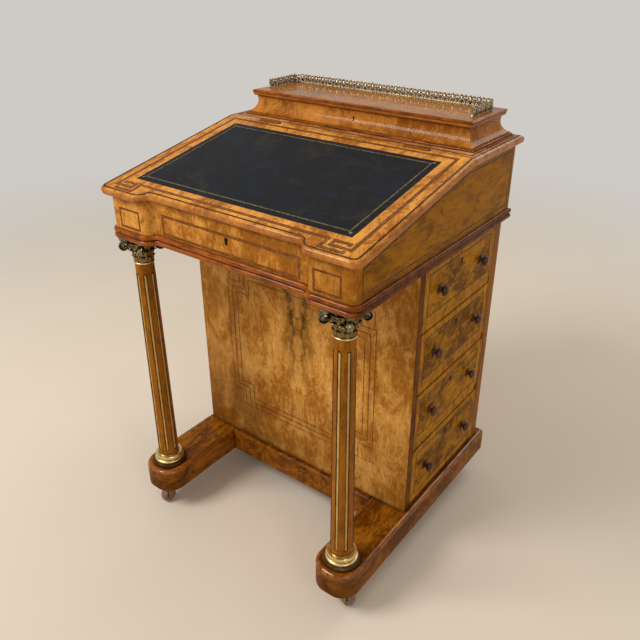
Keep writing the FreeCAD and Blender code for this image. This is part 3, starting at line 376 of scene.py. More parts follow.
def walnut(name, pale, deep, grain=ALONG_Z, burr=0.5, figure=1.0, gloss=0.4, coat=0.1, clouds=0.3, fibres=0.3,
           stretch=0.36, depth=1.0, curls=0.0, matched=False, aged=None, nose=None):
    """Polished walnut: clouded figure, fibres along the grain, pores, burr eyes, and painted shade with old grime
    in corners and joints.
    """
    recipe = Recipe(name)
    pale, deep = tuple(pale), tuple(deep)
    dark = blend_of(deep, BLACK, 0.72)
    whole = recipe.here()
    here = recipe.folded(whole) if matched else whole
    fine, drawn = along_grain(grain, FIBRE_SQUEEZE), along_grain(grain, stretch)
    swirled = recipe.bent(here, 9 * figure, 0.06)
    big = recipe.cloud(recipe.place(drawn, swirled), 8 * figure, 6, 0.7, 0.62)
    swirl = recipe.cloud(recipe.place(drawn, swirled), 27 * figure, 10, 0.5, 0.8)
    fibre = recipe.cloud(recipe.place(fine, here), 560, 3, 0.4, 0.6)
    mottle = recipe.cloud(swirled, 64 * figure, 6, 1.2, 0.72)
    tone = recipe.weigh((big, clouds), (swirl, 0.7 - clouds), (fibre, fibres), (mottle, 0.3 - fibres))
    stops = ((0.37, blend_of(deep, BLACK, 0.3)), (0.45, deep), (0.52, blend_of(deep, pale, 0.62)),
             (0.60, pale), (0.70, tuple(min(1.0, 1.3 * share) for share in pale)))
    shade = recipe.ramp(tone, [(MIDDLE_TONE + (spot - MIDDLE_TONE) / depth, mark) for spot, mark in stops])
    clusters = recipe.fade_in(recipe.cloud(here, 24 * figure, 3, 0.5), 0.42, 0.6)
    eyes = recipe.fade_out(recipe.cells(swirled, 130 * figure), 0.08, 0.26)
    shade = recipe.mix(recipe.times(eyes, clusters, burr), shade, dark)
    if curls:
        contour = recipe.size(recipe.work("SUBTRACT", recipe.cloud(swirled, 12 * figure, 3, 0.8), 0.5))
        scattered = recipe.fade_in(recipe.cloud(here, 9, 2), 0.52, 0.62, curls)
        shade = recipe.mix(recipe.times(recipe.fade_out(contour, 0.002, 0.016), scattered), shade, dark)
    pores = recipe.fade_out(recipe.cloud(recipe.place(fine, here), 1500, 2), 0.32, 0.44, 0.4)
    shade = recipe.mix(pores, shade, dark)
    if matched:
        shade = dark_veins(recipe, shade, here)
    # Darkening laid over the figure, partly the wood's own toning and partly painted shade; the coat dulls with
    # it.
    if aged:
        shade, dull = aged(recipe, shade, whole, deep)
        coat = recipe.spread(dull, 0.2, 0.8, coat, 0.15 * coat)
    if nose:
        rounded = recipe.turned_from(nose)
        shade = recipe.mix(recipe.times(rounded, NOSE_SHARE), shade, blend_of(deep, NOSE_STAIN, 0.4))
        coat = recipe.spread(rounded, 0, 1, coat, NOSE_COAT)
    # Darker within a few millimetres of corners, joints and overhangs: painted shade, with old grime.
    shade_and_grime = recipe.times(recipe.shelter(SHADE_AND_GRIME_REACH), SHADE_AND_GRIME_SHARE)
    return recipe.close(base_color=recipe.mix(shade_and_grime, shade, blend_of(dark, BLACK, 0.5)),
                        roughness=recipe.spread(swirl, 0.3, 0.7, gloss - 0.08, gloss + 0.1),
                        normal=recipe.bump(recipe.weigh((fibre, 1.0), (pores, -0.8)), 0.14, 0.4 * MM),
                        specular_ior_level=0.04, coat_weight=coat, coat_roughness=0.08, coat_ior=1.5)


VEIN_FOOT, VEIN_HEAD, VEIN_ASIDE = 0.28, 0.53, 0.05
VEIN_FADE = 0.42
VEIN_PATH = ((0.0, 0.24), (1.0, 1.0), (0.22, 0.28), (0.30, 0.20), (0.39, 0.32), (0.48, 0.28), (0.56, 0.16),
             (0.62, 0.34), (0.82, 0.36), (0.88, 0.54))
VEIN, VEIN_STAIN = (48, 40, 14), (104, 78, 24)


def dark_veins(recipe, shade, here):
    """Two green-black veins that mirror each other down the middle of a matched panel."""
    across, _, height = recipe.parts(here)
    bend = recipe.node("ShaderNodeFloatCurve", {"Value": recipe.spread(height, VEIN_FOOT, VEIN_HEAD)})
    line = bend.mapping.curves[0].points
    line[0].location, line[1].location = VEIN_PATH[:2]
    for spot in VEIN_PATH[2:]:
        line.new(*spot)
    bend.mapping.update()
    middle = recipe.times(bend.outputs[0], VEIN_ASIDE)
    wobble = recipe.spread(recipe.cloud(here, 90, 4, 0.6), 0.3, 0.7, -5 * MM, 5 * MM)
    aside = recipe.size(recipe.work("ADD", recipe.work("SUBTRACT", across, middle), wobble))
    rising = recipe.fade_in(height, VEIN_FOOT, VEIN_FADE)
    broken = recipe.fade_in(recipe.cloud(here, 70, 4, 0.6), 0.32, 0.5)
    patchy = recipe.spread(recipe.cloud(here, 40, 4, 0.8), 0.3, 0.6, 0.2, 1.0)
    stain = recipe.times(recipe.fade_out(aside, 1 * MM, 30 * MM, 0.66), patchy, rising)
    vein = recipe.times(recipe.fade_out(aside, 0.2 * MM, 6.8 * MM, 0.82), broken, rising)
    return recipe.mix(vein, recipe.mix(stain, shade, tint(*VEIN_STAIN)), tint(*VEIN))


def inlay_wood(name, shade, gloss=0.38):
    """Thin inlaid wood with short fibres."""
    recipe = Recipe(name)
    fibre = recipe.cloud(recipe.place((1, 1, 0.4)), 900, 3, 0.5)
    cloudy = recipe.cloud(recipe.place(), 60, 3, 0.6)
    body = recipe.ramp(recipe.weigh((fibre, 0.5), (cloudy, 0.5)), [
        (0.34, blend_of(shade, BLACK, 0.4)), (0.52, tuple(shade)),
        (0.68, blend_of(shade, (1, 0.8, 0.5), 0.12))])
    return recipe.close(base_color=body, roughness=recipe.spread(cloudy, 0.3, 0.7, gloss, gloss + 0.12),
                        normal=recipe.bump(fibre, 0.12, 0.2 * MM), specular_ior_level=0.08,
                        coat_weight=0.1, coat_roughness=0.12)


def worn_brass(name, bright, dull, wear=0.5, rough=0.3, hollow=4.0):
    """Cast brass: rubbed bright on its high places, dark in hollows of so many millimetres."""
    recipe = Recipe(name)
    bright, dull = tuple(bright), tuple(dull)
    mottle = recipe.cloud(recipe.place(), 150, 5, 1.2)
    fine = recipe.cloud(recipe.place(), 900, 3)
    deep = recipe.work("ADD", recipe.shelter(hollow * MM), recipe.spread(mottle, 0.3, 0.7, -wear, wear))
    shade = recipe.ramp(deep, [(0.1, bright), (0.5, blend_of(bright, dull, 0.6)), (0.9, dull)])
    return recipe.close(base_color=shade, metallic=1.0,
                        roughness=recipe.spread(deep, 0.1, 0.9, rough - 0.06, rough + 0.25),
                        normal=recipe.bump(fine, 0.1, 0.3 * MM))


def hide(name, shade):
    """Writing leather: pebbled grain, mottled dye and rubbed places."""
    recipe = Recipe(name)
    here = recipe.place()
    pebbles = recipe.cells(here, 620, "SMOOTH_F1")
    creases = recipe.cloud(here, 260, 5, 1.4)
    dye = recipe.cloud(recipe.bent(here, 9, 0.08), 14, 6, 0.6, 0.6)
    body = recipe.ramp(recipe.weigh((dye, 0.65), (creases, 0.35)), [
        (0.36, blend_of(shade, (0.004, 0.010, 0.020), 0.6)), (0.5, tuple(shade)),
        (0.64, blend_of(shade, (0.042, 0.04, 0.032), 0.46))])
    return recipe.close(base_color=body, roughness=recipe.spread(dye, 0.3, 0.7, 0.46, 0.6),
                        normal=recipe.bump(recipe.weigh((pebbles, 1.0), (creases, 0.7)), 0.28, 0.4 * MM),
                        specular_ior_level=0.14)


def gilt_tooling(name, shade, ground):
    """Gold leaf pressed into leather, rubbed away in places."""
    recipe = Recipe(name)
    rub = recipe.spread(recipe.cloud(recipe.place(), 320, 4, 0.8), 0.36, 0.52)
    return recipe.close(base_color=recipe.mix(rub, tuple(ground), tuple(shade)), metallic=0.6,
                        roughness=recipe.spread(rub, 0, 1, 0.55, 0.34))


def glazed(name, shade):
    """Glazed ceramic with fine crazing and grime."""
    recipe = Recipe(name)
    grime = recipe.cloud(recipe.place(), 180, 5, 1.0)
    cracks = recipe.cells(recipe.place(), 260, "DISTANCE_TO_EDGE")
    body = recipe.ramp(grime, [(0.35, blend_of(shade, (0.03, 0.015, 0.01), 0.6)), (0.58, tuple(shade)),
                               (0.75, blend_of(shade, (1, 0.95, 0.9), 0.3))])
    return recipe.close(base_color=body, roughness=recipe.spread(grime, 0.3, 0.7, 0.2, 0.45),
                        normal=recipe.bump(recipe.spread(cracks, 0, 0.04), 0.1, 0.2 * MM))


class Finishes:
    """Finishes made once and shared by the pieces."""

    made = {}

    @classmethod
    def get(cls, name):
        if not cls.made:
            c = settings().colours
            cls.made = {**cls.woods(c), **cls.inlays(c), **cls.metals(c)}
        return cls.made[name]

    @staticmethod
    def woods(c):
        honey = 1, 0.82, 0.34
        return {
            "lid": walnut("lid_veneer", c.lid_pale, c.lid_deep, ALONG_Y, burr=0.55, figure=1.3, coat=0.14,
                          fibres=0.14, depth=1.3, curls=0.35, nose=LID_OUT),
            "top": walnut("top_veneer", blend_of(c.lid_pale, WHITE, 0.15), c.lid_deep, ALONG_X, burr=0.5,
                          figure=1.3, coat=0.14, fibres=0.14, depth=1.2, nose=UP),
            "box": walnut("box_veneer", blend_of(c.lid_pale, c.lid_deep, 0.6),
                          blend_of(c.lid_deep, BLACK, 0.25), figure=1.2, gloss=0.34, coat=0.16, clouds=0.34,
                          fibres=0.1, stretch=0.5, depth=1.3),
            "box_top": walnut("polished_box_veneer", blend_of(c.lid_pale, c.lid_deep, 0.8),
                              blend_of(c.lid_deep, BLACK, 0.35), ALONG_X, burr=0.4, figure=1.3, gloss=0.22,
                              coat=0.36),
            "front": walnut("front_veneer", c.front_pale, c.front_deep, burr=0.6, figure=1.1, clouds=0.34,
                            fibres=0.1, stretch=0.6, depth=1.3, aged=darkened_end),
            "panel": walnut("matched_front_veneer", blend_of(c.front_pale, honey, 0.13),
                            blend_of(c.front_deep, c.front_pale, 0.15), burr=0.6, figure=0.9, coat=0.05,
                            clouds=0.18, fibres=0.1, stretch=0.42, depth=1.25, curls=0.7, matched=True,
                            aged=darkened_foot),
            "back": walnut("back_veneer", blend_of(c.side_pale, c.front_pale, 0.5),
                           blend_of(c.side_deep, c.front_deep, 0.6), figure=0.9, clouds=0.24),
            "side": walnut("side_veneer", c.side_pale, blend_of(c.side_deep, BLACK, 0.14), ALONG_Y, burr=0.8,
                           figure=1.25, coat=0.02, clouds=0.22, fibres=0.12, stretch=0.5, depth=1.4,
                           curls=0.6),
            "cheek": walnut("cheek_veneer", blend_of(c.side_pale, c.front_deep, 0.45), c.side_deep, ALONG_Y,
                            burr=0.4, figure=1.1, coat=0.02, clouds=0.16, fibres=0.2, stretch=0.3, curls=0.3),
            "crossband": walnut("crossband_veneer", blend_of(c.side_pale, c.front_pale, 0.15),
                                blend_of(c.side_deep, c.front_deep, 0.3), burr=0.2, figure=1.6, coat=0.02,
                                clouds=0.12),
            # Runners and their edges carry painted shade low on their front ends.
            "runner": walnut("runner_walnut", c.plain_pale, c.plain_deep, ALONG_Y, figure=1.2, clouds=0.2,
                             fibres=0.15, depth=1.4, aged=shaded_toe),
            "runner_edge": walnut("runner_edge_walnut", blend_of(c.plain_pale, c.red_pale, 0.4), c.plain_deep,
                                  ALONG_Y, burr=0.2, figure=1.4, gloss=0.26, coat=0.7, clouds=0.1,
                                  aged=shaded_toe),
            "column": walnut("column_walnut", c.plain_pale, blend_of(c.plain_deep, c.plain_pale, 0.4),
                             burr=0.15, figure=1.2, clouds=0.08),
            # The side runs of this moulding carry painted shade.
            "red": walnut("red_moulding_wood", c.red_pale, c.red_deep, ALONG_X, burr=0.1, figure=1.6,
                          gloss=0.36, coat=0.3, clouds=0.1, aged=shaded_sides),
            "knob": walnut("dark_knob_wood", blend_of(c.knob, c.red_pale, 0.35), c.knob, ALONG_X, burr=0.1,
                           figure=3.0, gloss=0.3, coat=0.6),
            "lining": walnut("lining_wood", c.lining_pale, c.lining_deep, ALONG_X, burr=0.0, gloss=0.6,
                             coat=0.0, clouds=0.1),
            "carcass": walnut("carcass_wood", c.lining_pale, c.lining_deep, ALONG_X, burr=0.0, figure=1.2,
                              gloss=0.6, coat=0.0, clouds=0.1),
            "stile": walnut("dark_stile_walnut", blend_of(c.plain_pale, c.plain_deep, 0.6),
                            blend_of(c.plain_deep, BLACK, 0.35), burr=0.3, figure=1.4, coat=0.05, clouds=0.1),
        }

    @staticmethod
    def inlays(c):
        return {
            "line": inlay_wood("dark_stringing", c.line_dark),
            "soft_line": inlay_wood("brown_stringing", blend_of(c.line_dark, c.band_brown, 0.35)),
            # Dark sheet in the column flutes is painted shade in the grooves; the foot rings use the same dark
            # wood.
            "flute": inlay_wood("dark_wood_and_flute_shade", blend_of(c.plain_deep, BLACK, 0.5)),
            "band": inlay_wood("brown_banding", c.band_brown),
            "strip": inlay_wood("pale_flute_strip", c.strip_pale, gloss=0.34),
            "hide": hide("writing_leather", c.leather),
            "gilt": gilt_tooling("gilt_tooling", c.gilt, c.leather),
            "wheel": glazed("castor_ceramic", c.wheel),
        }

    @staticmethod
    def metals(c):
        gold, grey = (1, 0.84, 0.4), (0.52, 0.46, 0.38)
        gallery = blend_of(blend_of(c.brass, grey, 0.4), c.tarnish, 0.3)
        return {
            "brass": worn_brass("gilt_brass", blend_of(c.brass, gold, 0.22), c.tarnish, wear=0.2, rough=0.36,
                                hollow=2.0),
            "bronze": worn_brass("capital_bronze", blend_of(c.brass, c.tarnish, 0.68),
                                 blend_of(c.tarnish, BLACK, 0.3), hollow=3.0),
            "gallery": worn_brass("gallery_brass", gallery, blend_of(c.tarnish, BLACK, 0.5), wear=0.6,
                                  rough=0.22, hollow=5.0),
            "dull_brass": worn_brass("dull_brass", blend_of(c.brass, c.tarnish, 0.6), c.tarnish, wear=0.4,
                                     rough=0.45),
            "hinge": worn_brass("hinge_brass", blend_of(c.tarnish, c.band_brown, 0.75),
                                blend_of(c.tarnish, BLACK, 0.4), wear=0.3, rough=0.65),
            "dark_metal": worn_brass("dark_escutcheon_brass", blend_of(c.tarnish, BLACK, 0.6),
                                     blend_of(c.tarnish, BLACK, 0.9), wear=0.3, rough=0.5),
            "patina": worn_brass("patinated_brass", blend_of(c.patina, c.brass, 0.4), c.patina, wear=0.6),
            "castor": worn_brass("castor_brass", blend_of(c.brass, c.tarnish, 0.5), c.tarnish, wear=0.4,
                                 rough=0.36),
        }


class Shape:
    """Corners and faces of one piece while it is being shaped."""

    def __init__(self):
        self.corners = []
        self.faces = []
        self.finish = []

    def skin(self, rings, around=True, joined=False, finish=0):
        """Skin over a row of rings that have the same number of points, closed at its ends."""
        start = len(self.corners)
        count = len(rings[0])
        for ring in rings:
            self.corners.extend(ring)
        for row in range(len(rings) if joined else len(rings) - 1):
            near = start + row * count
            far = start + (row + 1) % len(rings) * count
            for column in range(count if around else count - 1):
                after = (column + 1) % count
                self.faces.append((near + column, near + after, far + after, far + column))
        if around and not joined:
            last = start + (len(rings) - 1) * count
            self.faces.append(tuple(range(start + count - 1, start - 1, -1)))
            self.faces.append(tuple(range(last, last + count)))
        self.finish += [finish] * (len(self.faces) - len(self.finish))

    def make(self, name, finishes, body, sharp=40):
        """Object from the corners and faces, riding on a body; edges over the sharp angle stay crisp."""
        mesh = bpy.data.meshes.new(name)
        mesh.from_pydata(self.corners, [], self.faces)
        for finish in finishes:
            mesh.materials.append(Finishes.get(finish))
        mesh.polygons.foreach_set("material_index", self.finish)
        shell = bmesh.new()
        shell.from_mesh(mesh)
        bmesh.ops.recalc_face_normals(shell, faces=shell.faces)
        shell.to_mesh(mesh)
        shell.free()
        mesh.shade_smooth()
        mesh.set_sharp_from_angle(angle=math.radians(sharp))
        piece = bpy.data.objects.new(name, mesh)
        bpy.context.scene.collection.objects.link(piece)
        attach(piece, body)
        return piece


class Ground:
    """Flat ground that inlay is let into: a point on it, the way across and the way along."""

    def __init__(self, start, across, along, out=None):
        self.start = Vector(start)
        self.across = Vector(across)
        self.along = Vector(along)
        self.out = out or self.across.cross(self.along)

    def point(self, across, along, rise=0.0):
        return self.start + self.across * across + self.along * along + self.out * rise


def lid_ground():
    """Top of the closed lid, measured from the hinge, down the slope being negative."""
    return Ground(HINGE, ACROSS, LID_OUT.cross(ACROSS))


def front_ground(y):
    return Ground((0, y, 0), ACROSS, UP)


def side_ground(side, x):
    """Side of the desk; across runs to the back on both sides."""
    return Ground((side * x, 0, 0), BACK, UP, ACROSS * side)


def level_ground(z):
    return Ground((0, 0, z), ACROSS, BACK)


def round_angles(count):
    """Angles of even steps all the way round."""
    return [2 * math.pi * step / count for step in range(count)]


def arc(middle, radius, start, turn, steps):
    """Points along an arc about a middle."""
    points = []
    for step in range(steps + 1):
        angle = start + turn * step / steps
        points.append((middle[0] + radius * math.cos(angle), middle[1] + radius * math.sin(angle)))
    return points


def spiral(steps, start, turn, wide, narrow):
    """Points that wind about an eye; start and turn are in degrees."""
    points = []
    for step in range(steps + 1):
        share = step / steps
        angle = math.radians(start + turn * share)
        radius = wide + (narrow - wide) * share
        points.append((radius * math.cos(angle), radius * math.sin(angle)))
    return points


def oblong(low, high):
    return [(low[0], low[1]), (high[0], low[1]), (high[0], high[1]), (low[0], high[1])]


def millimetres(points):
    return [(a * MM, b * MM) for a, b in points]


def flipped(points):
    return [(-a, b) for a, b in points]


def sidesteps(points, closed):
    """Sideways step at each point of a path that keeps an even width round its corners."""
    steps = []
    last = len(points) - 1
    for index, point in enumerate(points):
        before = point - points[index - 1] if closed or index else points[1] - point
        after = points[(index + 1) % len(points)] - point if closed or index < last else before
        first, second = before.normalized().orthogonal(), after.normalized().orthogonal()
        steps.append((first + second) / max(1 + first.dot(second), MITRE_LIMIT))
    return steps


def lay(shape, ground, points, width, rise, closed=False, shift=0.0, finish=0, dip=0.0):
    """Strip of inlay along a path, moved sideways by a shift, hollowed by a dip."""
    points = [Vector(point) for point in points]
    rings = []
    for point, step in zip(points, sidesteps(points, closed)):
        left = point + step * (shift + width / 2)
        right = point + step * (shift - width / 2)
        ring = [ground.point(*left, rise), ground.point(*left, -SINK - dip),
                ground.point(*right, -SINK - dip), ground.point(*right, rise)]
        if dip:
            ring.append(ground.point(*(point + step * shift), rise - dip))
        rings.append(ring)
    shape.skin(rings, joined=closed, finish=finish)


def lay_band(shape, ground, points, closed=False, width=None):
    """Brown band with a dark line along each edge."""
    sizes = settings().sizes
    width = width or sizes.band
    lay(shape, ground, points, width, sizes.proud, closed)
    for side in SIDES:
        lay(shape, ground, points, sizes.line, LINE_LIFT * sizes.proud, closed,
            shift=side * (width - sizes.line) / 2, finish=1)


def sweep(shape, path, base, profile, closed=False, finish=0):
    """Moulding along a plan path; the profile gives steps outward and up."""
    points = [Vector(point) for point in path]
    rings = []
    for point, step in zip(points, sidesteps(points, closed)):
        ring = []
        for out, up in profile:
            spot = point - step * out * MM
            ring.append(Vector((spot.x, spot.y, base + up * MM)))
        rings.append(ring)
    shape.skin(rings, joined=closed, finish=finish)


def lathe(shape, foot, profile, sides, axes=(ACROSS, BACK, UP), finish=0, joined=False):
    """Turned form on a foot; the profile gives radii and heights in millimetres."""
    first, second, up = axes
    rings = []
    for radius, height in profile:
        rings.append([foot + (first * (radius * math.cos(angle)) + second * (radius * math.sin(angle))
                              + up * height) * MM for angle in round_angles(sides)])
    shape.skin(rings, joined=joined, finish=finish)


def tube(shape, points, radius, out, sides=8):
    """Round bar along a path that lies flat against the given way out."""
    rings = []
    last = len(points) - 1
    for index, point in enumerate(points):
        run = (points[min(index + 1, last)] - points[max(index - 1, 0)]).normalized()
        up = out.cross(run)
        rings.append([point + (out * math.cos(angle) + up * math.sin(angle)) * radius
                      for angle in round_angles(sides)])
    shape.skin(rings)


def bead(shape, middle, radii, axes=(ACROSS, BACK, UP), finish=0, sides=10, rows=6):
    """Rounded bead with its own width, in millimetres, in three ways."""
    wide, thick, tall = (axis * radius * MM for axis, radius in zip(axes, radii))
    rings = []
    for row in range(rows + 1):
        climb = -math.pi / 2 + math.pi * row / rows
        flat = max(math.cos(climb), BEAD_POLE)
        rings.append([middle + wide * (flat * math.cos(angle)) + thick * (flat * math.sin(angle))
                      + tall * math.sin(climb) for angle in round_angles(sides)])
    shape.skin(rings, finish=finish)


class DeskOperator:
    """What the desk's operators share."""

    bl_options = {"REGISTER", "UNDO"}

    def execute(self, context):
        self.build(context.scene.davenport)
        return {"FINISHED"}


class DAVENPORT_OT_polish(DeskOperator, bpy.types.Operator):
    """Give every wooden and metal part of the frame its finish"""

    bl_idname = "davenport.polish"
    bl_label = "Polish the cabinetwork"

    FINISH_OF = {
        "plinth_rails": "runner", "castor_plates": "castor", "front_panel": "panel", "back_panel": "back",
        "left_panel": "stile", "rear_lining": "stile", "pedestal_floor": "stile",
        "drawer_dividers": "crossband", "dummy_drawer_fronts": "side", "desk_bottom": "carcass",
        "front_frieze": "front", "desk_back": "back", "desk_moulding": "red", "desk_lock": "hinge",
        "desk_top": "top", "stationery_walls": "box", "stationery_tray": "carcass",
        "tray_dividers": "carcass", "interior_nest": "carcass", "slope_lid": "lid",
        "writing_leather": "hide", "stationery_lid": "box_top", "gallery": "gallery",
        "interior_drawer_right": "lining", "interior_drawer_left": "lining",
    }
    FINISH_OF_ENDING = {
        "_runner": "runner", "_column_base": "brass", "_column": "column", "_capital": "brass",
        "_cheek": "side", "_leaves": "hinge", "_front": "side", "_box": "lining", "_knobs": "knob",
        "_fork": "castor", "_wheel": "wheel",
    }

    def build(self, desk):
        for node, piece in frame["nodes"].items():
            piece.data.materials.clear()
            piece.data.materials.append(Finishes.get(self.finish_of(node)))

    def finish_of(self, node):
        if node in self.FINISH_OF:
            return self.FINISH_OF[node]
        for ending, finish in self.FINISH_OF_ENDING.items():
            if node.endswith(ending):
                return finish
        raise RuntimeError(f"no finish is set for {node}")


class DAVENPORT_OT_inlay_lid(DeskOperator, bpy.types.Operator):
    """Let brown banding with key corners into the writing lid"""

    bl_idname = "davenport.inlay_lid"
    bl_label = "Inlay the writing lid"

    FRONT_RUN = (0, 305.5), (200, 305.5), (200, 329), (240, 329), (240, 323)
    KEY_AND_SIDE = (239, 312), (239, 306), (212, 306), (212, 318.5), (248.6, 318.5), (248.6, 12), (0, 12)

    def build(self, desk):
        shape = Shape()
        front, side = ([(x, -distance) for x, distance in millimetres(run)]
                       for run in (self.FRONT_RUN, self.KEY_AND_SIDE))
        for whole in (flipped(front)[::-1] + front[1:], side + flipped(side)[::-1][1:]):
            lay_band(shape, lid_ground(), whole)
        shape.make("lid_banding", ["band", "line"], "writing_lid")


class DAVENPORT_OT_inlay_top(DeskOperator, bpy.types.Operator):
    """Let banding into the fixed top"""

    bl_idname = "davenport.inlay_top"
    bl_label = "Inlay the fixed top"

    INSET = 15 * MM
    FRONT_INSET = 14 * MM
    BAND = 4.2 * MM

    def build(self, desk):
        low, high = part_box("desk_top")
        shape = Shape()
        panel = oblong((low.x + self.INSET, low.y + self.FRONT_INSET),
                       (high.x - self.INSET, high.y - self.INSET))
        lay_band(shape, level_ground(high.z), panel, True, self.BAND)
        shape.make("top_banding", ["band", "line"], "desk")


class DAVENPORT_OT_inlay_walls(DeskOperator, bpy.types.Operator):
    """Veneer the cheeks, and let panels of stringing into them and into the front wall"""

    bl_idname = "davenport.inlay_walls"
    bl_label = "Inlay the desk walls"

    BLOCK_PANEL = (190, 643.5), (238, 676)
    BLOCK_BAND = 3.4 * MM
    CENTRE_PANEL = (-149, 642), (149, 675)
    CENTRE_BAND = 4.6 * MM
    VENEER = 0.15 * MM
    VENEER_MARGIN, VENEER_FRONT, VENEER_BACK = 0.3 * MM, 14.2 * MM, 11.7 * MM
    LINE_MARGIN, LINE_FRONT, LINE_BACK = 12 * MM, 17 * MM, 1 * MM
    LINE = 2.6 * MM
    LINE_EDGE, LINE_EDGE_LIFT = 0.8 * MM, 1.2

    def build(self, desk):
        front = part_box("front_frieze")[0].y
        shape = Shape()
        for side in SIDES:
            block = [(side * x, z) for x, z in millimetres(oblong(*self.BLOCK_PANEL))]
            lay_band(shape, front_ground(front), block, True, self.BLOCK_BAND)
        lay_band(shape, front_ground(front + BREAK_DEPTH), millimetres(oblong(*self.CENTRE_PANEL)), True,
                 self.CENTRE_BAND)
        shape.make("front_wall_inlay", ["band", "soft_line"], "desk")
        for side, label in zip(SIDES, LABELS):
            self.cheek(desk.sizes.proud, side, label, front)

    def outline(self, label, margin, near, far):
        """Wedge of a cheek between two depths, inside its edges by a margin."""
        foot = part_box("desk_moulding")[1].z + margin
        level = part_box(f"{label}_cheek")[1].z - margin
        fall = -LID_OUT.y / LID_OUT.z
        knee_z = HINGE.z - LID_THICK / LID_OUT.z - margin
        knee = HINGE.y + (level - knee_z) / fall
        nose_z = knee_z - (HINGE.y - near) * fall
        return [(near, foot), (far, foot), (far, level), (knee, level), (near, nose_z)]

    def cheek(self, proud, side, label, front):
        low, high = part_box(f"{label}_cheek")
        ground = side_ground(side, abs(high.x if side > 0 else low.x))
        shape = Shape()
        sheet = self.outline(label, self.VENEER_MARGIN, front + self.VENEER_FRONT, high.y + self.VENEER_BACK)
        shape.skin([[ground.point(y, z, rise) for y, z in sheet] for rise in (-SINK, self.VENEER)])
        shape.make(f"{label}_cheek_veneer", ["cheek"], "desk")
        shape = Shape()
        panel = self.outline(label, self.LINE_MARGIN, front + self.LINE_FRONT, high.y + self.LINE_BACK)
        lay(shape, ground, panel, self.LINE, self.VENEER + proud, True)
        for shift in SIDES:
            lay(shape, ground, panel, self.LINE_EDGE, self.VENEER + self.LINE_EDGE_LIFT * proud, True,
                shift=shift * (self.LINE + self.LINE_EDGE) / 2, finish=1)
        shape.make(f"{label}_cheek_stringing", ["line", "crossband"], "desk")


class DAVENPORT_OT_inlay_front(DeskOperator, bpy.types.Operator):
    """Let three lines with stepped-in corners into the pedestal's front panel"""

    bl_idname = "davenport.inlay_front"
    bl_label = "Inlay the pedestal front"

    REACH = 180.5
    STEP_IN = 148
    UPRIGHT = 222, 484
    WHOLE = 187, 519
    SPACING = 12
    LINES = 3
    CORNER_INSET = 4
    CORNER_SHARE = 0.7

    def build(self, desk):
        sizes = desk.sizes
        ground = front_ground(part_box("front_panel")[0].y)
        shape = Shape()
        for index in range(self.LINES):
            lay(shape, ground, self.outline(index * self.SPACING), sizes.line, sizes.proud, True)
        reach = self.REACH - self.CORNER_INSET
        for side in SIDES:
            for edge, upright in zip(self.WHOLE, self.UPRIGHT):
                square = [(side * self.STEP_IN, edge), (side * reach, edge), (side * reach, upright)]
                lay(shape, ground, millimetres(square), self.CORNER_SHARE * sizes.line, sizes.proud)
        shape.make("front_panel_stringing", ["soft_line"], "desk")

    def outline(self, inward):
        """Frame with a square taken out of each corner, moved in by so much."""
        x, step_in = self.REACH - inward, self.STEP_IN - inward
        low, high = self.UPRIGHT[0] + inward, self.UPRIGHT[1] - inward
        foot, head = self.WHOLE[0] + inward, self.WHOLE[1] - inward
        right = [(step_in, foot), (step_in, low), (x, low), (x, high), (step_in, high), (step_in, head)]
        return millimetres(right + flipped(right)[::-1])


class DAVENPORT_OT_inlay_back(DeskOperator, bpy.types.Operator):
    """Let double lines into the back of the pedestal and of the desk box"""

    bl_idname = "davenport.inlay_back"
    bl_label = "Inlay the back"

    PANELS = {"back_panel": ((-222, 150), (222, 582)), "desk_back": ((-234, 656), (234, 742))}
    PAIR = 3.5 * MM

    def build(self, desk):
        sizes = desk.sizes
        shape = Shape()
        for node, panel in self.PANELS.items():
            ground = Ground((0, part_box(node)[1].y, 0), -ACROSS, UP)
            outline = millimetres(oblong(*panel))
            for side in SIDES:
                lay(shape, ground, outline, sizes.line, sizes.proud, True, side * self.PAIR)
        shape.make("back_stringing", ["line"], "desk")


class DAVENPORT_OT_face_drawers(DeskOperator, bpy.types.Operator):
    """Lay crossbanding and a dark line round every drawer front, real and dummy"""

    bl_idname = "davenport.face_drawers"
    bl_label = "Face the drawers"

    LINE, LINE_LIFT = 2.0 * MM, 1.4
    GAP = 0.4 * MM

    def build(self, desk):
        for number in DRAWERS:
            low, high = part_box(f"drawer_{number}_front")
            for side, label, body in ((1, "drawer", f"drawer_{number}"), (-1, "dummy_drawer", "desk")):
                shape = Shape()
                self.border(shape, side_ground(side, high.x), low, high, desk.sizes)
                shape.make(f"{label}_{number}_banding", ["crossband", "line"], body)

    def border(self, shape, ground, low, high, sizes):
        half = sizes.crossband / 2
        inset = half + self.GAP
        points = oblong((low.y + inset, low.z + inset), (high.y - inset, high.z - inset))
        lay(shape, ground, points, sizes.crossband, sizes.proud, True)
        lay(shape, ground, points, self.LINE, self.LINE_LIFT * sizes.proud, True,
            shift=half + self.LINE / 2, finish=1)


class DAVENPORT_OT_dovetail_drawers(DeskOperator, bpy.types.Operator):
    """Show the drawer sides dovetailed into the ends of the drawer fronts"""

    bl_idname = "davenport.dovetail_drawers"
    bl_label = "Dovetail the drawers"

    TAILS = 4
    LAP = 12 * MM
    NARROW, WIDE = 0.26, 0.36
    RISE = 0.1 * MM

    def build(self, desk):
        for number in DRAWERS:
            low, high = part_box(f"drawer_{number}_front")
            shape = Shape()
            pitch = (high.z - low.z) / self.TAILS
            narrow, wide, lap = self.NARROW * pitch, self.WIDE * pitch, low.x + self.LAP
            for y, out in ((low.y, -1), (high.y, 1)):
                for index in range(self.TAILS):
                    z = low.z + (index + 0.5) * pitch
                    tail = [(low.x, z - narrow), (lap, z - wide), (lap, z + wide), (low.x, z + narrow)]
                    shape.skin([[Vector((across, y + out * rise, up)) for across, up in tail]
                                for rise in (-SINK, self.RISE)])
            shape.make(f"drawer_{number}_dovetails", ["lining"], f"drawer_{number}")


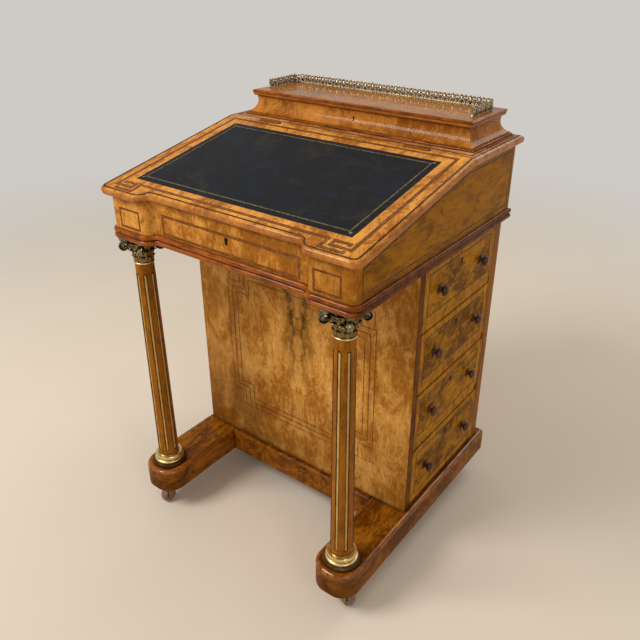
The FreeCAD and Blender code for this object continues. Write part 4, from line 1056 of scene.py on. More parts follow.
class DAVENPORT_OT_turn_knobs(DeskOperator, bpy.types.Operator):
    """Turn the round-headed knobs of the drawers and of the dummy drawers"""

    bl_idname = "davenport.turn_knobs"
    bl_label = "Turn the knobs"

    PROFILE = ((8.0, 0.0), (8.3, 0.9), (7.6, 1.9), (5.6, 2.8), (4.6, 4.2), (4.6, 5.6), (5.5, 6.4), (5.3, 7.0),
               (6.4, 7.4), (8.4, 8.2), (9.8, 9.4), (10.3, 10.8), (10.2, 12.2), (9.4, 13.6), (7.9, 14.8),
               (5.8, 15.8), (3.4, 16.4), (0.9, 16.7))
    STEPS_ROUND = 24
    SHARP = 60

    def build(self, desk):
        dummies = Shape()
        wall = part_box("dummy_knobs")[1].x
        for number in DRAWERS:
            low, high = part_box(f"drawer_{number}_knobs")
            radius = (high.z - low.z) / 2
            shape = Shape()
            for y in (low.y + radius, high.y - radius):
                self.knob(shape, Vector((low.x, y, low.z + radius)), 1)
                self.knob(dummies, Vector((wall, y, low.z + radius)), -1)
            piece = shape.make(f"drawer_{number}_turned_knobs", ["knob"], f"drawer_{number}",
                               self.SHARP)
            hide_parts(f"drawer_{number}_knobs")
        piece = dummies.make("dummy_turned_knobs", ["knob"], "desk", self.SHARP)
        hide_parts("dummy_knobs")

    def knob(self, shape, foot, side):
        lathe(shape, foot, self.PROFILE, self.STEPS_ROUND, (BACK, UP, ACROSS * side))


class DAVENPORT_OT_face_stiles(DeskOperator, bpy.types.Operator):
    """Face the ends of the pedestal's front and back, and the rails between the dummy drawers"""

    bl_idname = "davenport.face_stiles"
    bl_label = "Face the stiles and rails"

    EDGE = 0.6 * MM
    FACING = 0.25 * MM
    REAR_SPLIT = 7 * MM
    REAR_LINE = 3.4 * MM
    REAR_LINE_RISE = 0.32 * MM
    RAIL_SETBACK = 1.5 * MM
    RAIL_DEPTH = 15 * MM

    def build(self, desk):
        low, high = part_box("front_panel")
        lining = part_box("rear_lining")[0].y
        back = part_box("back_panel")[1].y
        split = lining + self.REAR_SPLIT
        ends = low.z + self.EDGE, high.z
        for side, label in zip(SIDES, LABELS):
            shape = Shape()
            ground = side_ground(side, high.x)
            for finish, near, far in ((0, low.y, high.y), (1, lining, split), (2, split, back)):
                upright = [((near + far) / 2, z) for z in ends]
                lay(shape, ground, upright, far - near - self.EDGE, self.FACING, finish=finish)
            lay(shape, ground, [(split, z) for z in ends], self.REAR_LINE, self.REAR_LINE_RISE)
            shape.make(f"{label}_stile_facings", ["stile", "crossband", "column"], "desk")
        self.rails(side_ground(-1, high.x))

    def rails(self, ground):
        """Rails between the dummy drawers, set back from their fronts."""
        shape = Shape()
        for number in DRAWERS[:-1]:
            low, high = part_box(f"drawer_{number}_front")
            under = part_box(f"drawer_{number + 1}_front")[1].z
            corners = oblong((low.y, under + self.EDGE), (high.y, low.z - self.EDGE))
            shape.skin([[ground.point(*corner, -depth) for corner in corners]
                        for depth in (self.RAIL_SETBACK + self.RAIL_DEPTH, self.RAIL_SETBACK)])
        shape.make("dummy_drawer_rails", ["crossband"], "desk")


class DAVENPORT_OT_line_keyholes(DeskOperator, bpy.types.Operator):
    """Line the keyholes with thin dark metal, and paint shade below each slot to make it look longer"""

    bl_idname = "davenport.line_keyholes"
    bl_label = "Line the keyholes"

    ROUND, HALF_SLOT, SLOT_FOOT = 2.2 * MM, 1.2 * MM, 5.8 * MM
    STEPS_ROUND = 14
    RIM = 1.6 * MM
    RIM_RISE = 0.2 * MM
    # Dark bar that carries each slot further down: painted shade of a longer slot.
    SLOT_SHADE = 5.6 * MM, 9.6 * MM
    SLOT_SHADE_WIDTH = 2.4 * RIM
    SLOT_SHADE_RISE = 0.22 * MM

    def build(self, desk):
        low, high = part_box("desk_lock")
        front = front_ground(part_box("front_frieze")[0].y + BREAK_DEPTH)
        self.escutcheon("desk_escutcheon", front, 0, (low.z + high.z) / 2, "desk")
        for number in DRAWERS:
            low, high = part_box(f"drawer_{number}_front")
            self.escutcheon(f"drawer_{number}_escutcheon", side_ground(1, high.x), (low.y + high.y) / 2,
                            high.z - KEYHOLE_DROP, f"drawer_{number}")

    def outline(self, across, along):
        """Outline of a keyhole with its round part at a point."""
        slot = math.asin(self.HALF_SLOT / self.ROUND)
        start, turn = -math.pi / 2 + slot, 2 * math.pi - 2 * slot
        points = arc((across, along), self.ROUND, start, turn, self.STEPS_ROUND)
        foot = along - self.SLOT_FOOT
        return points + [(across - self.HALF_SLOT, foot), (across + self.HALF_SLOT, foot)]

    def escutcheon(self, name, ground, across, along, body):
        shape = Shape()
        lay(shape, ground, self.outline(across, along), self.RIM, self.RIM_RISE, True, -self.RIM / 2)
        lay(shape, ground, [(across, along - drop) for drop in self.SLOT_SHADE], self.SLOT_SHADE_WIDTH, self.SLOT_SHADE_RISE)
        shape.make(name, ["dark_metal"], body)


class DAVENPORT_OT_lay_leather(DeskOperator, bpy.types.Operator):
    """Lay the leather on the lid, with its gilt line and corner flowers"""

    bl_idname = "davenport.lay_leather"
    bl_label = "Lay the leather"

    ROWS, COLUMNS = 44, 76
    THICK = 0.55
    ROLLED_EDGE = 1.5 * MM
    WAVE_HEIGHT, WAVE_SCALE, WAVE_LAYER, WAVE_FADE = 0.07, 22, 3.1, 8 * MM
    UNDERSIDE = -0.6 * MM
    SHARP = 80
    GILT_RISE = 0.75 * MM
    GILT_LINE = 0.9 * MM
    INNER_LINE, INNER_SHIFT = 0.4 * MM, -1.5 * MM
    FLOWER_OUT = 4 * MM
    PETALS = 4
    PETAL = (0.3, 0.3), (1.2, 1.1), (2.2, 0.9), (3.2, 0.15)

    def build(self, desk):
        ground = lid_ground()
        low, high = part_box("writing_leather")
        half = high.x
        front, back = ((y - HINGE.y) / ground.along.y for y in (low.y, high.y))
        self.skin(ground, half, front, back)
        inset = desk.sizes.leather_line
        shape = Shape()
        corners = oblong((-half + inset, front + inset), (half - inset, back - inset))
        lay(shape, ground, corners, self.GILT_LINE, self.GILT_RISE, True)
        lay(shape, ground, corners, self.INNER_LINE, self.GILT_RISE, True, self.INNER_SHIFT)
        for x, y in corners:
            self.flower(shape, ground, x + math.copysign(self.FLOWER_OUT, x),
                        y + math.copysign(self.FLOWER_OUT, y - (front + back) / 2))
        shape.make("gilt_tooling", ["gilt"], "writing_lid")

    def skin(self, ground, half, front, back):
        """Skin with rolled edges and the faint waves of leather glued by hand."""
        shape = Shape()
        rings = []
        for row in range(self.ROWS + 1):
            along = front + (back - front) * row / self.ROWS
            line = []
            for column in range(self.COLUMNS + 1):
                across = -half + 2 * half * column / self.COLUMNS
                edge = min(half - abs(across), along - front, back - along)
                lift = self.THICK * min(1.0, edge / self.ROLLED_EDGE) ** 0.5
                spot = across * self.WAVE_SCALE, along * self.WAVE_SCALE, self.WAVE_LAYER
                lift += self.WAVE_HEIGHT * noise.noise(Vector(spot)) * min(1.0, edge / self.WAVE_FADE)
                line.append(ground.point(across, along, lift * MM))
            rings.append(line)
        shape.skin(rings, around=False)
        shape.skin([[ground.point(a, b, self.UNDERSIDE) for a in (-half, half)] for b in (front, back)],
                   around=False)
        piece = shape.make("leather_skin", ["hide"], "writing_lid", self.SHARP)
        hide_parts("writing_leather")

    def flower(self, shape, ground, across, along):
        """Small petals round a point."""
        for angle in round_angles(self.PETALS):
            way = Vector((math.cos(angle + math.pi / 4), math.sin(angle + math.pi / 4)))
            rings = []
            for reach, half in self.PETAL:
                point = Vector((across, along)) + way * reach * MM
                step = way.orthogonal() * half * MM
                left, right = point + step, point - step
                rise, root = self.GILT_RISE, self.GILT_RISE - SINK
                rings.append([ground.point(*left, rise), ground.point(*left, root),
                              ground.point(*right, root), ground.point(*right, rise)])
            shape.skin(rings)


class DAVENPORT_OT_string_columns(DeskOperator, bpy.types.Operator):
    """Paint shade into the flutes of the columns with dark sheets, and set round-ended pale strips in them"""

    bl_idname = "davenport.string_columns"
    bl_label = "Fill the flutes"

    HEAD_MARGIN = 21 * MM
    FOOT_MARGIN = 11 * MM
    TAPER = 3.0 * MM
    END_STEPS = 4
    END_SHARE = 0.08
    # Dark sheet that lines each flute: painted shade in the groove.
    FLUTE_SHADE_HALF = 3.2 * MM
    FLUTE_SHADE = ((-1, -0.06), (-0.86, 0.6), (-0.6, 1.25), (-0.3, 1.6), (0.3, 1.6), (0.6, 1.25), (0.86, 0.6),
              (1, -0.06), (0.9, 2.6), (-0.9, 2.6))
    STRIP = (-1, 1.9), (-0.92, 1.2), (-0.55, 0.75), (0, 0.6), (0.55, 0.75), (0.92, 1.2), (1, 1.9)

    def build(self, desk):
        sizes = desk.sizes
        for side, label in zip(SIDES, LABELS):
            low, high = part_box(f"{label}_column")
            shape = Shape()
            for turn in round_angles(sizes.flutes):
                angle = -math.pi / 2 + sizes.flute_turn + turn
                way = Vector((side * math.cos(angle), math.sin(angle), 0))
                for finish, section, half in ((1, self.FLUTE_SHADE, self.FLUTE_SHADE_HALF),
                                              (0, self.STRIP, sizes.flute_strip / 2)):
                    self.strip(shape, low, high, way, section, half, finish)
            shape.make(f"{label}_flute_strips", ["strip", "flute"], "desk")

    def strip(self, shape, low, high, way, section, half, finish):
        """Round-ended strip up the shaft; its section gives steps across and depths below the surface."""
        middle = (low + high) / 2
        foot_radius = (high.x - low.x) / 2
        beside = Vector((-way.y, way.x, 0))
        foot, head = low.z + self.FOOT_MARGIN, high.z - self.HEAD_MARGIN
        stations = []
        for step in range(self.END_STEPS + 1):
            turn = math.pi / 2 * step / self.END_STEPS
            stations.append((foot + half * (1 - math.cos(turn)), max(self.END_SHARE, math.sin(turn))))
        stations += [(head + foot - z, width) for z, width in reversed(stations)]
        rings = []
        for z, width in stations:
            radius = foot_radius - self.TAPER * (z - low.z) / (high.z - low.z)
            ring = []
            for across, depth in section:
                spot = middle + way * (radius - depth * MM) + beside * half * width * across
                ring.append(Vector((spot.x, spot.y, z)))
            rings.append(ring)
        shape.skin(rings, finish=finish)


class DAVENPORT_OT_cast_capitals(DeskOperator, bpy.types.Operator):
    """Cast the leafed capitals of the columns"""

    bl_idname = "davenport.cast_capitals"
    bl_label = "Cast the capitals"

    SHARP = 50
    STEPS_ROUND = 44
    NECK, NECK_BEAD, NECK_LIP = 17.5, 1.5, 0.2
    BELL = (16.6, 2.6), (16.4, 6), (16.8, 14), (18.0, 22), (20.8, 30), (23.8, 36), (27.0, 42.5)
    LEAVES = 8
    LEAF_ROWS = (3.0, 13.0, 0.37, 1.0, 0.0), (6.0, 26.0, 0.36, 1.5, math.pi / 8)
    CORNER_LEAF = 15.0, 29.0, 0.40, 4.6
    LEAF_STEPS = 18, 14
    LEAF_LIFT, LEAF_LEAN, LEAF_THICK, LEAF_DROOP = 0.5, 0.8, 0.9, 1.4
    LOBES, LOBE_DEPTH, LOBE_ROUND = 4.5, 0.24, 0.6
    LEAF_TAPER, TIP_TAPER, TIP_ROUND = 0.16, 0.55, 1.6
    RIB, PLEATS, PLEAT_DEPTH, LEAF_CUP = 0.8, 3.5, 0.4, 0.6
    TIP_START, TIP_TURN, TIP_SQUASH = 0.7, math.radians(170), 0.6
    SCROLL_OUT, SCROLL_UP, SCROLL_RADIUS = 32.0, 31.6, 10.6
    SCROLL_STEM = (18.5, 17.0), (19.6, 23.0), (20.6, 29.0)
    SCROLL_WIND = 36, 160, -700
    SCROLL_EYE = 0.16
    SCROLL_NARROW, SCROLL_BROAD, SCROLL_OPENING, SCROLL_TAPER = 2.6, 5.0, 10, 0.3
    SCROLL_SECTION = (-1, -0.6), (-0.8, 1), (-0.3, 0.4), (0.3, 0.4), (0.8, 1), (1, -0.6), (0, -1)
    EYE_BEAD, EYE_DISC = (2.2, 5.2, 2.2), (8.4, 3.0, 8.4)
    SCROLL_BUDS, BUD = ((25.0, 27.0), (27.0, 35.0)), (2.0, 3.4, 3.6)
    FLOWER_OUT, FLOWER_UP, FLOWER_EYE = 23.4, 45.6, (1.5, 1.5, 1.5)
    PETALS, PETAL_OUT, PETAL = 6, 2.4, (1.0, 1.5, 1.1)
    CURL_OUT, CURL_LEAN, CURL_ASIDE, CURL_UP = 24.6, 0.05, 5.2, 35.5
    CURL_WIND = 25, 200, -560, 3.8, 0.8
    CURL_BAR = 0.8 * MM
    ABACUS = (42.0, 4.0), (42.6, 2.6), (44.4, 1.6), (44.9, 2.6), (45.8, 1.0), (48.6, 0.0), (50.0, 0.3)
    HORN, WAIST, REACH, SIDE_STEPS = 26.5, 21.5, 30.5, 10

    def build(self, desk):
        for label in LABELS:
            low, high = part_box(f"{label}_capital")
            middle = (low + high) / 2
            self.axis = Vector((middle.x, middle.y, low.z))
            shape = Shape()
            self.turned_bell(shape)
            for foot, head, spread, curl, start in self.LEAF_ROWS:
                for angle in round_angles(self.LEAVES):
                    self.leaf(shape, start + angle, foot, head, spread, curl)
            for angle in round_angles(4):
                self.leaf(shape, math.pi / 4 + angle, *self.CORNER_LEAF)
                self.volute(shape, *self.facing(math.pi / 4 + angle))
                self.fleuron(shape, *self.facing(angle))
            self.abacus(shape)
            piece = shape.make(f"{label}_capital_casting", ["bronze", "patina", "brass"], "desk",
                               self.SHARP)
            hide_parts(f"{label}_capital")

    def facing(self, angle):
        """The way out at an angle, and the way beside it."""
        way = Vector((math.cos(angle), math.sin(angle), 0))
        return way, Vector((-way.y, way.x, 0))

    def turned_bell(self, shape):
        bead_middle, inside = (self.NECK + self.NECK_LIP, self.NECK_BEAD), self.NECK - self.NECK_BEAD
        ring = [(inside, 0.0), *arc(bead_middle, self.NECK_BEAD, -math.pi / 2, math.pi, CORNER_STEPS),
                (inside, 2 * self.NECK_BEAD)]
        lathe(shape, self.axis, ring, self.STEPS_ROUND, finish=2)
        lathe(shape, self.axis, self.BELL, self.STEPS_ROUND)

    def bell_radius(self, height):
        """Radius of the bell at a height."""
        for (near, low), (far, high) in zip(self.BELL, self.BELL[1:]):
            if height <= high:
                return near + (far - near) * max(0.0, height - low) / (high - low)
        return self.BELL[-1][0]

    def leaf(self, shape, angle, foot, head, spread, curl):
        """Leaf that follows the bell, then curls over at its tip."""
        rows, columns = self.LEAF_STEPS
        rings = []
        for row in range(rows + 1):
            t = row / rows
            rise = min(t / self.TIP_START, 1.0)
            height = foot + (head - foot) * rise
            roll = max(0.0, (t - self.TIP_START) / (1 - self.TIP_START))
            turn = roll * self.TIP_TURN
            base = self.bell_radius(height) + self.LEAF_LIFT + self.LEAF_LEAN * rise
            lobe = abs(math.cos(self.LOBES * math.pi * t)) ** self.LOBE_ROUND
            wide = spread * (1 - self.LOBE_DEPTH * (1 - lobe)) * (1 - self.LEAF_TAPER * t)
            wide *= 1 - self.TIP_TAPER * roll ** self.TIP_ROUND
            front, back = [], []
            for line, thick in ((front, 0.0), (back, self.LEAF_THICK)):
                for column in range(columns + 1):
                    s = 2 * column / columns - 1
                    pleat = self.PLEAT_DEPTH * abs(math.cos(self.PLEATS * math.pi * s))
                    lift = self.RIB * (1 - abs(s)) ** 3 + pleat - self.LEAF_CUP * s * s - thick
                    radius = base + curl * (1 - math.cos(turn)) + lift * math.cos(turn)
                    up = height + (curl - self.TIP_SQUASH * lift) * math.sin(turn)
                    up -= self.LEAF_DROOP * s * s * rise
                    aside = angle + s * wide
                    line.append(self.axis
                                + Vector((radius * math.cos(aside), radius * math.sin(aside), up)) * MM)
            rings.append(front + back[::-1])
        shape.skin(rings)

    def volute(self, shape, way, beside):
        """Corner scroll that rises behind the leaves and winds up under the abacus."""
        winding = spiral(*self.SCROLL_WIND, self.SCROLL_RADIUS, self.SCROLL_EYE * self.SCROLL_RADIUS)
        points = [*self.SCROLL_STEM, *((self.SCROLL_OUT + out, self.SCROLL_UP + up) for out, up in winding)]
        points = [Vector(point) for point in points]
        rings = []
        last = len(points) - 1
        for index, point in enumerate(points):
            run = (points[min(index + 1, last)] - points[max(index - 1, 0)]).normalized()
            opened = min(1.0, index / self.SCROLL_OPENING)
            half = self.SCROLL_NARROW + (self.SCROLL_BROAD - self.SCROLL_NARROW) * opened
            half *= 1 - self.SCROLL_TAPER * index / last
            ring = []
            for across, lift in self.SCROLL_SECTION:
                spot = point + Vector((-run.y, run.x)) * lift
                ring.append(self.axis + (way * spot.x + UP * spot.y + beside * half * across) * MM)
            rings.append(ring)
        shape.skin(rings, finish=1)
        axes = way, beside, UP
        eye = self.axis + (way * self.SCROLL_OUT + UP * self.SCROLL_UP) * MM
        bead(shape, eye, self.EYE_BEAD, axes, finish=1)
        bead(shape, eye, self.EYE_DISC, axes, finish=1, sides=20, rows=10)
        for out, up in self.SCROLL_BUDS:
            bead(shape, self.axis + (way * out + UP * up) * MM, self.BUD, axes, finish=1)

    def fleuron(self, shape, way, beside):
        """Small flower in the middle of each side of the abacus, over two little scrolls."""
        middle = self.axis + (way * self.FLOWER_OUT + UP * self.FLOWER_UP) * MM
        bead(shape, middle + way * MM, self.FLOWER_EYE)
        for turn in round_angles(self.PETALS):
            out = beside * math.cos(turn) + UP * math.sin(turn)
            bead(shape, middle + out * self.PETAL_OUT * MM, self.PETAL, (way, out, way.cross(out)))
        for side in SIDES:
            points = []
            for step, (across, up) in enumerate(spiral(*self.CURL_WIND)):
                points.append(self.axis + (way * (self.CURL_OUT + self.CURL_LEAN * step)
                                           + beside * side * (self.CURL_ASIDE + across)
                                           + UP * (self.CURL_UP + up)) * MM)
            tube(shape, points, self.CURL_BAR, way, 6)

    def abacus(self, shape):
        """Moulded top plate with hollow sides and cut corners."""
        plan = []
        for angle in round_angles(4):
            turn = Matrix.Rotation(angle, 2)
            for step in range(self.SIDE_STEPS + 1):
                share = 2 * step / self.SIDE_STEPS - 1
                hollow = self.WAIST + (self.REACH - self.WAIST) * share ** 2
                plan.append(turn @ Vector((self.HORN * share, -hollow)))
        rings = []
        for height, inset in self.ABACUS:
            pulled = [spot - spot.normalized() * inset for spot in plan]
            rings.append([self.axis + Vector((spot.x, spot.y, height)) * MM for spot in pulled])
        shape.skin(rings, finish=1)


class DAVENPORT_OT_cast_gallery(DeskOperator, bpy.types.Operator):
    """Cast the pierced gallery of the stationery lid"""

    bl_idname = "davenport.cast_gallery"
    bl_label = "Cast the gallery"

    SHARP = 60
    CORNER = 15 * MM
    HALF_WALL = 1 * MM
    FOOT = (-1.3, 0), (-1.3, 0.7), (-0.8, 1.0), (-0.7, 1.7), (0.7, 1.7), (0.8, 1.0), (1.3, 0.7), (1.3, 0)
    RAIL = (-0.8, 13.0), (-0.8, 14.0), (0.8, 14.0), (0.8, 13.0)
    ARCH_STEPS, ARCH_FOOT, ARCH_RISE, ARCH_POINT, ARCH_BAR = 12, 2.0, 10.8, 0.62, 1.25 * MM
    SCROLL_WIND = 9, -80, 300, 2.3, 1.1
    SCROLL_ASIDE, SCROLL_UP, SCROLL_BAR = 0.33, 5.0, 0.9 * MM
    DROP_UP, DROP = 6.9, (3.9, 1.7, 5.2)
    FOOT_BEAD_UP, FOOT_BEAD = 9.0, (1.8, 1.1, 3.6)
    CREST = (0.5, 15.7, 2.6, 3.1), (0.25, 14.6, 1.5, 2.0), (0.75, 14.6, 1.5, 2.0), (0.0, 15.4, 2.3, 2.7)
    CREST_THICK = 1.0
    POST = ((2.2, 0), (2.2, 1.6), (1.5, 2.2), (1.2, 6), (1.6, 9), (1.2, 12), (1.7, 13.4), (1.1, 14.2),
            (1.6, 15.6), (1.7, 16.6), (1.2, 17.8), (0.2, 18.4))
    POST_STEPS_ROUND = 10

    def build(self, desk):
        low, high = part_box("gallery")
        self.foot = low.z
        self.path = self.plan(low, high)
        self.marks = [0.0]
        for near, far in zip(self.path, self.path[1:]):
            self.marks.append(self.marks[-1] + (far - near).length)
        shape = Shape()
        sweep(shape, self.path, low.z, self.FOOT, finish=1)
        sweep(shape, self.path, low.z, self.RAIL)
        bays = round(self.marks[-1] / desk.sizes.gallery_bay)
        for bay in range(bays):
            self.bay(shape, self.marks[-1] * bay / bays, self.marks[-1] / bays)
        for end in (self.path[0], self.path[-1]):
            lathe(shape, Vector((end.x, end.y, low.z)), self.POST, self.POST_STEPS_ROUND)
        piece = shape.make("brass_gallery", ["gallery", "dull_brass"], "stationery_cover",
                           self.SHARP)
        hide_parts("gallery")

    def plan(self, low, high):
        """Line of the gallery in plan: return, rounded corner, back, rounded corner, return."""
        left, right, back = low.x + self.HALF_WALL, high.x - self.HALF_WALL, high.y - self.HALF_WALL
        path = [(left, low.y)]
        for middle, start in ((left + self.CORNER, math.pi), (right - self.CORNER, math.pi / 2)):
            path += arc((middle, back - self.CORNER), self.CORNER, start, -math.pi / 2, CORNER_STEPS)
        return [Vector(point) for point in (*path, (right, low.y))]

    def along(self, distance):
        """Point and direction of the line at a distance from its start."""
        distance = min(max(distance, 0.0), self.marks[-1])
        index = next(i for i, mark in enumerate(self.marks[1:]) if distance <= mark + 1e-9)
        near, far = self.path[index], self.path[index + 1]
        run = (far - near).normalized()
        spot = near + run * (distance - self.marks[index])
        return Vector((spot.x, spot.y, self.foot)), Vector((run.x, run.y, 0))

    def bay(self, shape, start, pitch):
        """One repeat: a pointed arch over a broad drop, two leaning scrolls and a lobed crest."""

        def at(across, height):
            return self.along(start + across * pitch)[0] + UP * height * MM

        run = self.along(start + pitch / 2)[1]
        out = run.cross(UP)
        axes = run, out, UP
        arch = []
        for step in range(self.ARCH_STEPS + 1):
            share = step / self.ARCH_STEPS
            climb = math.sin(math.pi * share) ** self.ARCH_POINT
            arch.append(at(share, self.ARCH_FOOT + self.ARCH_RISE * climb))
        tube(shape, arch, self.ARCH_BAR, out)
        for side in SIDES:
            eye = at(0.5 - side * self.SCROLL_ASIDE, self.SCROLL_UP)
            scroll = [eye + (run * side * across + UP * up) * MM for across, up in spiral(*self.SCROLL_WIND)]
            tube(shape, scroll, self.SCROLL_BAR, out, 6)
        bead(shape, at(0.5, self.DROP_UP), self.DROP, axes, sides=12, rows=8)
        first_run = self.along(start)[1]
        bead(shape, at(0.0, self.FOOT_BEAD_UP), self.FOOT_BEAD, (first_run, first_run.cross(UP), UP), sides=8)
        for across, height, wide, tall in self.CREST:
            bead(shape, at(across, height), (wide, self.CREST_THICK, tall), axes, sides=8)


class DAVENPORT_OT_run_mouldings(DeskOperator, bpy.types.Operator):
    """Run the edge mouldings of the stationery box and the runners"""

    bl_idname = "davenport.run_mouldings"
    bl_label = "Run the edge mouldings"

    LID_EDGE = ((-3.0, 11.4), (0.0, 11.2), (1.3, 10.0), (1.5, 8.2), (0.4, 7.2), (0.4, 6.4), (-0.4, 5.6),
                (-0.9, 3.6), (-2.0, 1.6), (-3.4, 0.4), (-4.5, 2.0), (-4.5, 8.0))
    FOOT_BEAD = ((-0.6, 0.02), (3.6, 0.02), (3.9, 0.9), (3.7, 2.2), (2.8, 3.4), (1.4, 4.0), (0.6, 4.6),
                 (-0.6, 4.8))
    RUNNER_CORNER, RUNNER_STEPS = 36 * MM, 12
    RUNNER_BACK = 0.4 * MM
    EDGE, EDGE_PROUD, EDGE_ROOT = 7, 0.25, 2.0

    def build(self, desk):
        self.box_moulding("stationery_lid", self.LID_EDGE, "stationery_lid_moulding", "stationery_cover")
        self.box_moulding("stationery_walls", self.FOOT_BEAD, "stationery_foot_bead", "desk")
        for label in LABELS:
            self.runner_edge(label)

    def box_moulding(self, node, profile, name, body):
        """Moulding round the outside of a node's box."""
        low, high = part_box(node)
        shape = Shape()
        outline = oblong((low.x, low.y), (high.x, high.y))[::-1]
        sweep(shape, outline, low.z, flipped(profile), True)
        shape.make(name, ["red"], body)

    def runner_edge(self, label):
        """Rounded upper edge down one side of a runner, round its front end and back."""
        low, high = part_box(f"{label}_runner")
        corner, edge, back = self.RUNNER_CORNER, self.EDGE, high.y - self.RUNNER_BACK
        path = [(low.x, back)]
        for middle, start in ((low.x + corner, math.pi), (high.x - corner, 1.5 * math.pi)):
            path += arc((middle, low.y + corner), corner, start, math.pi / 2, self.RUNNER_STEPS)
        path.append((high.x, back))
        profile = arc((-edge, -edge), edge + self.EDGE_PROUD, 0, math.pi / 2, CORNER_STEPS)
        profile += [(-edge, -self.EDGE_ROOT), (-self.EDGE_ROOT, -edge)]
        shape = Shape()
        sweep(shape, path, high.z, profile)
        shape.make(f"{label}_runner_edge", ["runner_edge"], "desk")


class DAVENPORT_OT_darken_quirks(DeskOperator, bpy.types.Operator):
    """Lay a dark strip in the quirk inside the moulded edge of the lid and top: painted shade in the groove"""

    bl_idname = "davenport.darken_quirks"
    bl_label = "Darken the quirks"

    INSET = 7.6 * MM
    WIDTH = 4.6 * MM
    DIP = 1.2 * MM
    RISE = 0.05 * MM
    CORNER = 8.4 * MM
    BREAK = 159 * MM, 187 * MM
    BREAK_STEPS = 12
    HINGE_GAP = 0.5 * MM

    def build(self, desk):
        low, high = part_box("desk_top")
        left, right, back = low.x + self.INSET, high.x - self.INSET, high.y - self.INSET
        round_top = [(left, low.y), (left, back), (right, back), (right, low.y)]
        for name, ground, path, body in (("top_quirk", level_ground(high.z), round_top, "desk"),
                                         ("lid_quirk", lid_ground(), self.lid_path(right), "writing_lid")):
            shape = Shape()
            lay(shape, ground, path, self.WIDTH, self.RISE, dip=self.DIP)
            shape.make(name, ["line"], body)

    def lid_path(self, half):
        """Quirk of the lid from the hinge on the left, round the front, to the hinge on the right."""
        front = self.INSET - LID_LENGTH
        near, far = self.BREAK
        right = []
        for step in range(self.BREAK_STEPS + 1):
            share = step / self.BREAK_STEPS
            depth = BREAK_DEPTH * (1 + math.cos(math.pi * share)) / 2
            right.append((near + (far - near) * share, front + depth))
        middle = half - self.CORNER, front + self.CORNER
        right += arc(middle, self.CORNER, -math.pi / 2, math.pi / 2, CORNER_STEPS)
        right.append((half, -self.HINGE_GAP))
        return flipped(right)[::-1] + right


class DAVENPORT_OT_foot_columns(DeskOperator, bpy.types.Operator):
    """Turn a dark wooden ring round the foot of each column base"""

    bl_idname = "davenport.foot_columns"
    bl_label = "Foot the columns"

    PROFILE = ((29.5, 0.1), (33.4, 0.1), (34.3, 1.4), (34.5, 3.5), (34.1, 5.6), (32.8, 7.3), (30.6, 7.9),
               (28.8, 7.4))
    STEPS_ROUND = 56

    def build(self, desk):
        for label in LABELS:
            low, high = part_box(f"{label}_column_base")
            middle = (low + high) / 2
            shape = Shape()
            lathe(shape, Vector((middle.x, middle.y, low.z)), self.PROFILE, self.STEPS_ROUND, joined=True)
            shape.make(f"{label}_column_foot_ring", ["flute"], "desk")


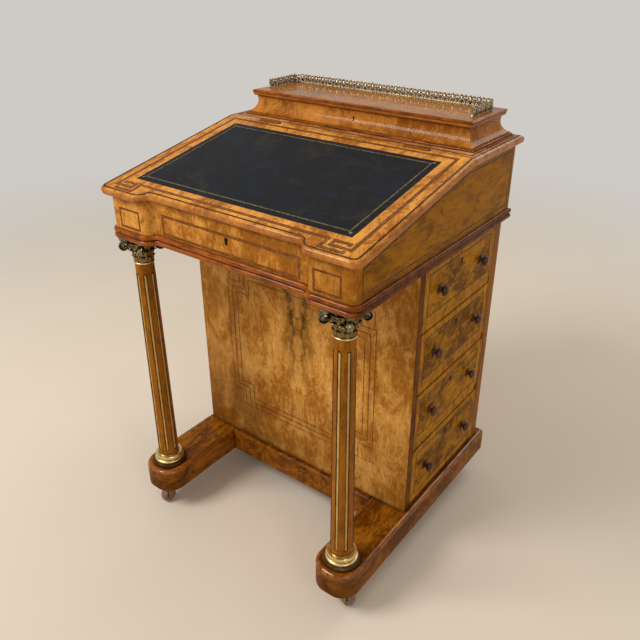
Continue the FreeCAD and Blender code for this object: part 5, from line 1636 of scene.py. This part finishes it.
class DAVENPORT_OT_stage(DeskOperator, bpy.types.Operator):
    """Set up the floor, lamps and camera"""

    bl_idname = "davenport.stage"
    bl_label = "Set the stage"

    LAMPS = (
        ("key_lamp", (-1.2, -1.9, 2.4), 1.3, 62),
        ("fill_lamp", (2.3, -1.3, 1.6), 0.8, 9),
        ("back_lamp", (0.6, 2.0, 2.2), 1.4, 16),
    )
    AIM = Vector((0, 0, 0.5))
    BACKGROUND = (1, 0.965, 0.91, 1)
    SEEN = 0.62
    LIT = 0.5
    FLOOR_RADIUS = 9
    FLOOR_STEPS_ROUND = 64
    FLOOR_MOTTLE = 0.03
    FADE = 0.9, 3.0
    SENSOR = 36

    def build(self, desk):
        self.floor(desk.stage)
        self.world()
        for name, place, size, power in self.LAMPS:
            self.lamp(name, place, size, power)
        self.camera(desk.stage)
        bpy.context.scene.view_settings.view_transform = "Standard"

    def hold(self, name, data):
        """Object that holds a mesh, lamp or camera in the scene."""
        holder = bpy.data.objects.new(name, data)
        bpy.context.scene.collection.objects.link(holder)
        return holder

    def lamp(self, name, place, size, power):
        lamp = bpy.data.lights.new(name, "AREA")
        lamp.shape = "DISK"
        lamp.size = size
        lamp.energy = power
        holder = self.hold(name, lamp)
        holder.location = place
        holder.rotation_euler = (self.AIM - Vector(place)).to_track_quat("-Z", "Y").to_euler()

    def floor(self, stage):
        """Broad pale disc, with a very slight mottle."""
        mesh = bpy.data.meshes.new("floor")
        rim = [Vector((math.cos(angle), math.sin(angle), 0)) * self.FLOOR_RADIUS
               for angle in round_angles(self.FLOOR_STEPS_ROUND)]
        mesh.from_pydata(rim, [], [tuple(range(len(rim)))])
        recipe = Recipe("pale_floor")
        shade = tuple(stage.floor)
        mottle = recipe.cloud(recipe.place(), 3, 3)
        body = recipe.ramp(mottle, [(0.3, blend_of(shade, BLACK, self.FLOOR_MOTTLE)), (0.7, shade)])
        mesh.materials.append(self.faded(recipe, recipe.surface(base_color=body, roughness=0.9)))
        ground = self.hold("floor", mesh)

    def faded(self, recipe, surface):
        """Far out, the floor passes into the background for the eye and for reflections."""
        across, back, _ = recipe.parts(recipe.place())
        flat = recipe.node("ShaderNodeCombineXYZ", {0: across, 1: back}).outputs[0]
        reach = recipe.node("ShaderNodeVectorMath", {0: flat}, operation="LENGTH").outputs["Value"]
        near, distant = self.FADE
        far = recipe.node("ShaderNodeMapRange", {"Value": reach, "From Min": near, "From Max": distant},
                          interpolation_type="SMOOTHSTEP").outputs[0]
        glow = recipe.node("ShaderNodeEmission", {"Color": self.BACKGROUND, "Strength": self.SEEN}).outputs[0]
        mixed = recipe.node("ShaderNodeMixShader", {0: recipe.times(far, recipe.seen()), 1: surface, 2: glow})
        recipe.node("ShaderNodeOutputMaterial", {"Surface": mixed.outputs[0]})
        return recipe.made

    def world(self):
        """Pale background for the eye and for reflections, gentle light for the rest."""
        recipe = Recipe("studio", bpy.data.worlds)
        lit, seen = (recipe.node("ShaderNodeBackground", {"Color": self.BACKGROUND, "Strength": strength})
                     for strength in (self.LIT, self.SEEN))
        choice = recipe.node("ShaderNodeMixShader", {0: recipe.seen(), 1: lit.outputs[0], 2: seen.outputs[0]})
        recipe.node("ShaderNodeOutputWorld", {"Surface": choice.outputs[0]})
        bpy.context.scene.world = recipe.made

    def camera(self, stage):
        lens = bpy.data.cameras.new("camera")
        lens.sensor_width = self.SENSOR
        lens.lens = stage.lens
        lens.shift_x, lens.shift_y = stage.shift
        holder = self.hold("camera", lens)
        turn = (Matrix.Rotation(stage.yaw, 4, "Z") @ Matrix.Rotation(math.pi / 2 - stage.pitch, 4, "X")
                @ Matrix.Rotation(stage.roll, 4, "Z"))
        holder.matrix_world = Matrix.Translation(stage.eye) @ turn
        bpy.context.scene.camera = holder


STEPS = (
    DAVENPORT_OT_polish, DAVENPORT_OT_inlay_lid, DAVENPORT_OT_inlay_top, DAVENPORT_OT_inlay_walls,
    DAVENPORT_OT_inlay_front, DAVENPORT_OT_inlay_back, DAVENPORT_OT_face_drawers,
    DAVENPORT_OT_dovetail_drawers, DAVENPORT_OT_turn_knobs, DAVENPORT_OT_face_stiles,
    DAVENPORT_OT_line_keyholes, DAVENPORT_OT_lay_leather, DAVENPORT_OT_string_columns,
    DAVENPORT_OT_cast_capitals, DAVENPORT_OT_cast_gallery, DAVENPORT_OT_run_mouldings,
    DAVENPORT_OT_darken_quirks, DAVENPORT_OT_foot_columns, DAVENPORT_OT_stage,
)


class DAVENPORT_PT_panel(bpy.types.Panel):
    """Steps that dress the desk"""

    bl_label = "Davenport desk"
    bl_idname = "DAVENPORT_PT_panel"
    bl_space_type = "VIEW_3D"
    bl_region_type = "UI"
    bl_category = "Davenport"

    def draw(self, context):
        for step in STEPS:
            self.layout.operator(step.bl_idname)


CLASSES = (DeskColours, DeskSizes, DeskStage, DeskSettings, *STEPS, DAVENPORT_PT_panel)


def register():
    for item in CLASSES:
        bpy.utils.register_class(item)
    bpy.types.Scene.davenport = PointerProperty(type=DeskSettings)


def unregister():
    del bpy.types.Scene.davenport
    for item in reversed(CLASSES):
        bpy.utils.unregister_class(item)


def main():
    register()
    for step in STEPS:
        group, name = step.bl_idname.split(".")
        getattr(getattr(bpy.ops, group), name)()


if __name__ == "__main__":
    main()
